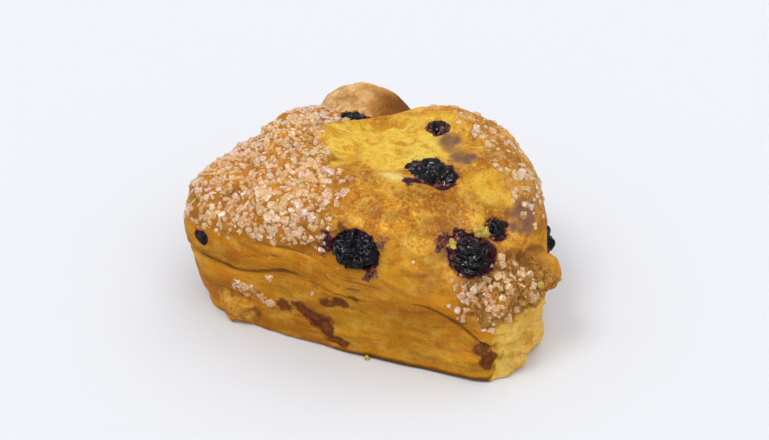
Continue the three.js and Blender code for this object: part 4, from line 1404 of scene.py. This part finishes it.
rng = np.random.default_rng(SUGAR_SEED)
sugar_paint = sugar_finish()
for name, weight, count, spacing, size, least, most in SUGAR_KINDS:
    places, normal = surface_samples(crust.data, weight, count, spacing, rng)
    sizes = np.clip(rng.normal(size, GRAIN_SIZE_SPREAD * size, len(places)), least, most)
    sugar = scattered(name, places, normal, sizes, rng)
    sugar.data.materials.append(sugar_paint)
    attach(sugar, "root")

loose = crumb_pieces()
loose.data.materials.append(loose_crumb_finish())
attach(loose, "root")

# ---------------------------------------------------------------- floor, light and camera

FLOOR_HALF = 3.0
PAPER_WHITE = (0.728, 0.734, 0.740, 1)
TENT_WHITE = (0.935, 0.98, 1.10, 1)
TENT_STRENGTH = 0.71
LAMP_WHITE = (1.03, 1.0, 0.95)
PLAIN_WHITE = (1, 1, 1)

# The suns: azimuth, elevation, strength, how wide they are, in degrees, colour, and whether
# they show only as a gloss on berries and sugar.
SUNS = {
    "key_light": (-40, 63, 0.95, 24, LAMP_WHITE, False),
    "fill_light": (62, 58, 0.47, 34, LAMP_WHITE, False),
    "back_light": (160, 64, 0.48, 40, LAMP_WHITE, False),
    "glint_light": (2, 50, 5.0, 6, PLAIN_WHITE, True),
    "sheen_light": (-24, 62, 5.0, 30, PLAIN_WHITE, True),
}

# The camera looks at the dough from the photograph's angle; AIM is how far the middle of the
# picture lies right of the dough's middle and above it.
CAMERA_AZIMUTH, CAMERA_ELEVATION = 25, 36
CAMERA_DISTANCE = 511.46
LENS, SENSOR, NEAREST = 85, 36, 0.01
AIM_HEIGHT = 16
AIM = (3.803, 5.071)


def way_towards(azimuth, elevation):
    """The way towards something at that azimuth and elevation in degrees, seen from the dough."""
    a, e = math.radians(azimuth), math.radians(elevation)
    return Vector((math.sin(a) * math.cos(e), -math.cos(a) * math.cos(e), math.sin(e)))


def lay_floor():
    bm = bmesh.new()
    bmesh.ops.create_grid(bm, x_segments=8, y_segments=8, size=FLOOR_HALF)
    floor = piece_from(bm, "floor")
    paper = Finish("white_paper")
    paper.give("Base Color", PAPER_WHITE)
    paper.give("Roughness", 0.9)
    paper.give("Specular IOR Level", 0.1)
    floor.data.materials.append(paper.material)
    return floor


def light_tent():
    world = bpy.data.worlds.new("white_tent")
    bpy.context.scene.world = world
    world.use_nodes = True
    background = world.node_tree.nodes["Background"]
    background.inputs["Color"].default_value = TENT_WHITE
    background.inputs["Strength"].default_value = TENT_STRENGTH


def soft_sun(name, azimuth, elevation, strength, width, colour, gloss_only):
    data = bpy.data.lights.new(name, "SUN")
    data.energy = strength
    data.angle = math.radians(width)
    data.color = colour
    lamp = bpy.data.objects.new(name, data)
    lamp.rotation_euler = way_towards(azimuth, elevation).to_track_quat("Z", "Y").to_euler()
    lamp.visible_diffuse = not gloss_only
    bpy.context.scene.collection.objects.link(lamp)


def place_camera():
    back = way_towards(CAMERA_AZIMUTH, CAMERA_ELEVATION)
    turn = math.radians(CAMERA_AZIMUTH)
    right = Vector((math.cos(turn), math.sin(turn), 0))
    up = back.cross(right)
    aim = Vector((0, 0, AIM_HEIGHT)) + Vector(MIDDLE) + right * AIM[0] + up * AIM[1]
    place = Matrix.Translation((aim + back * CAMERA_DISTANCE) * MM)
    lens = bpy.data.cameras.new("camera")
    lens.lens = LENS
    lens.sensor_width = SENSOR
    lens.clip_start = NEAREST
    camera = bpy.data.objects.new("camera", lens)
    camera.matrix_world = place @ Matrix((right, up, back)).transposed().to_4x4()
    bpy.context.scene.collection.objects.link(camera)
    bpy.context.scene.camera = camera


floor = lay_floor()
light_tent()
for name, sun in SUNS.items():
    soft_sun(name, *sun)
place_camera()
bpy.context.scene.view_settings.view_transform = "Standard"
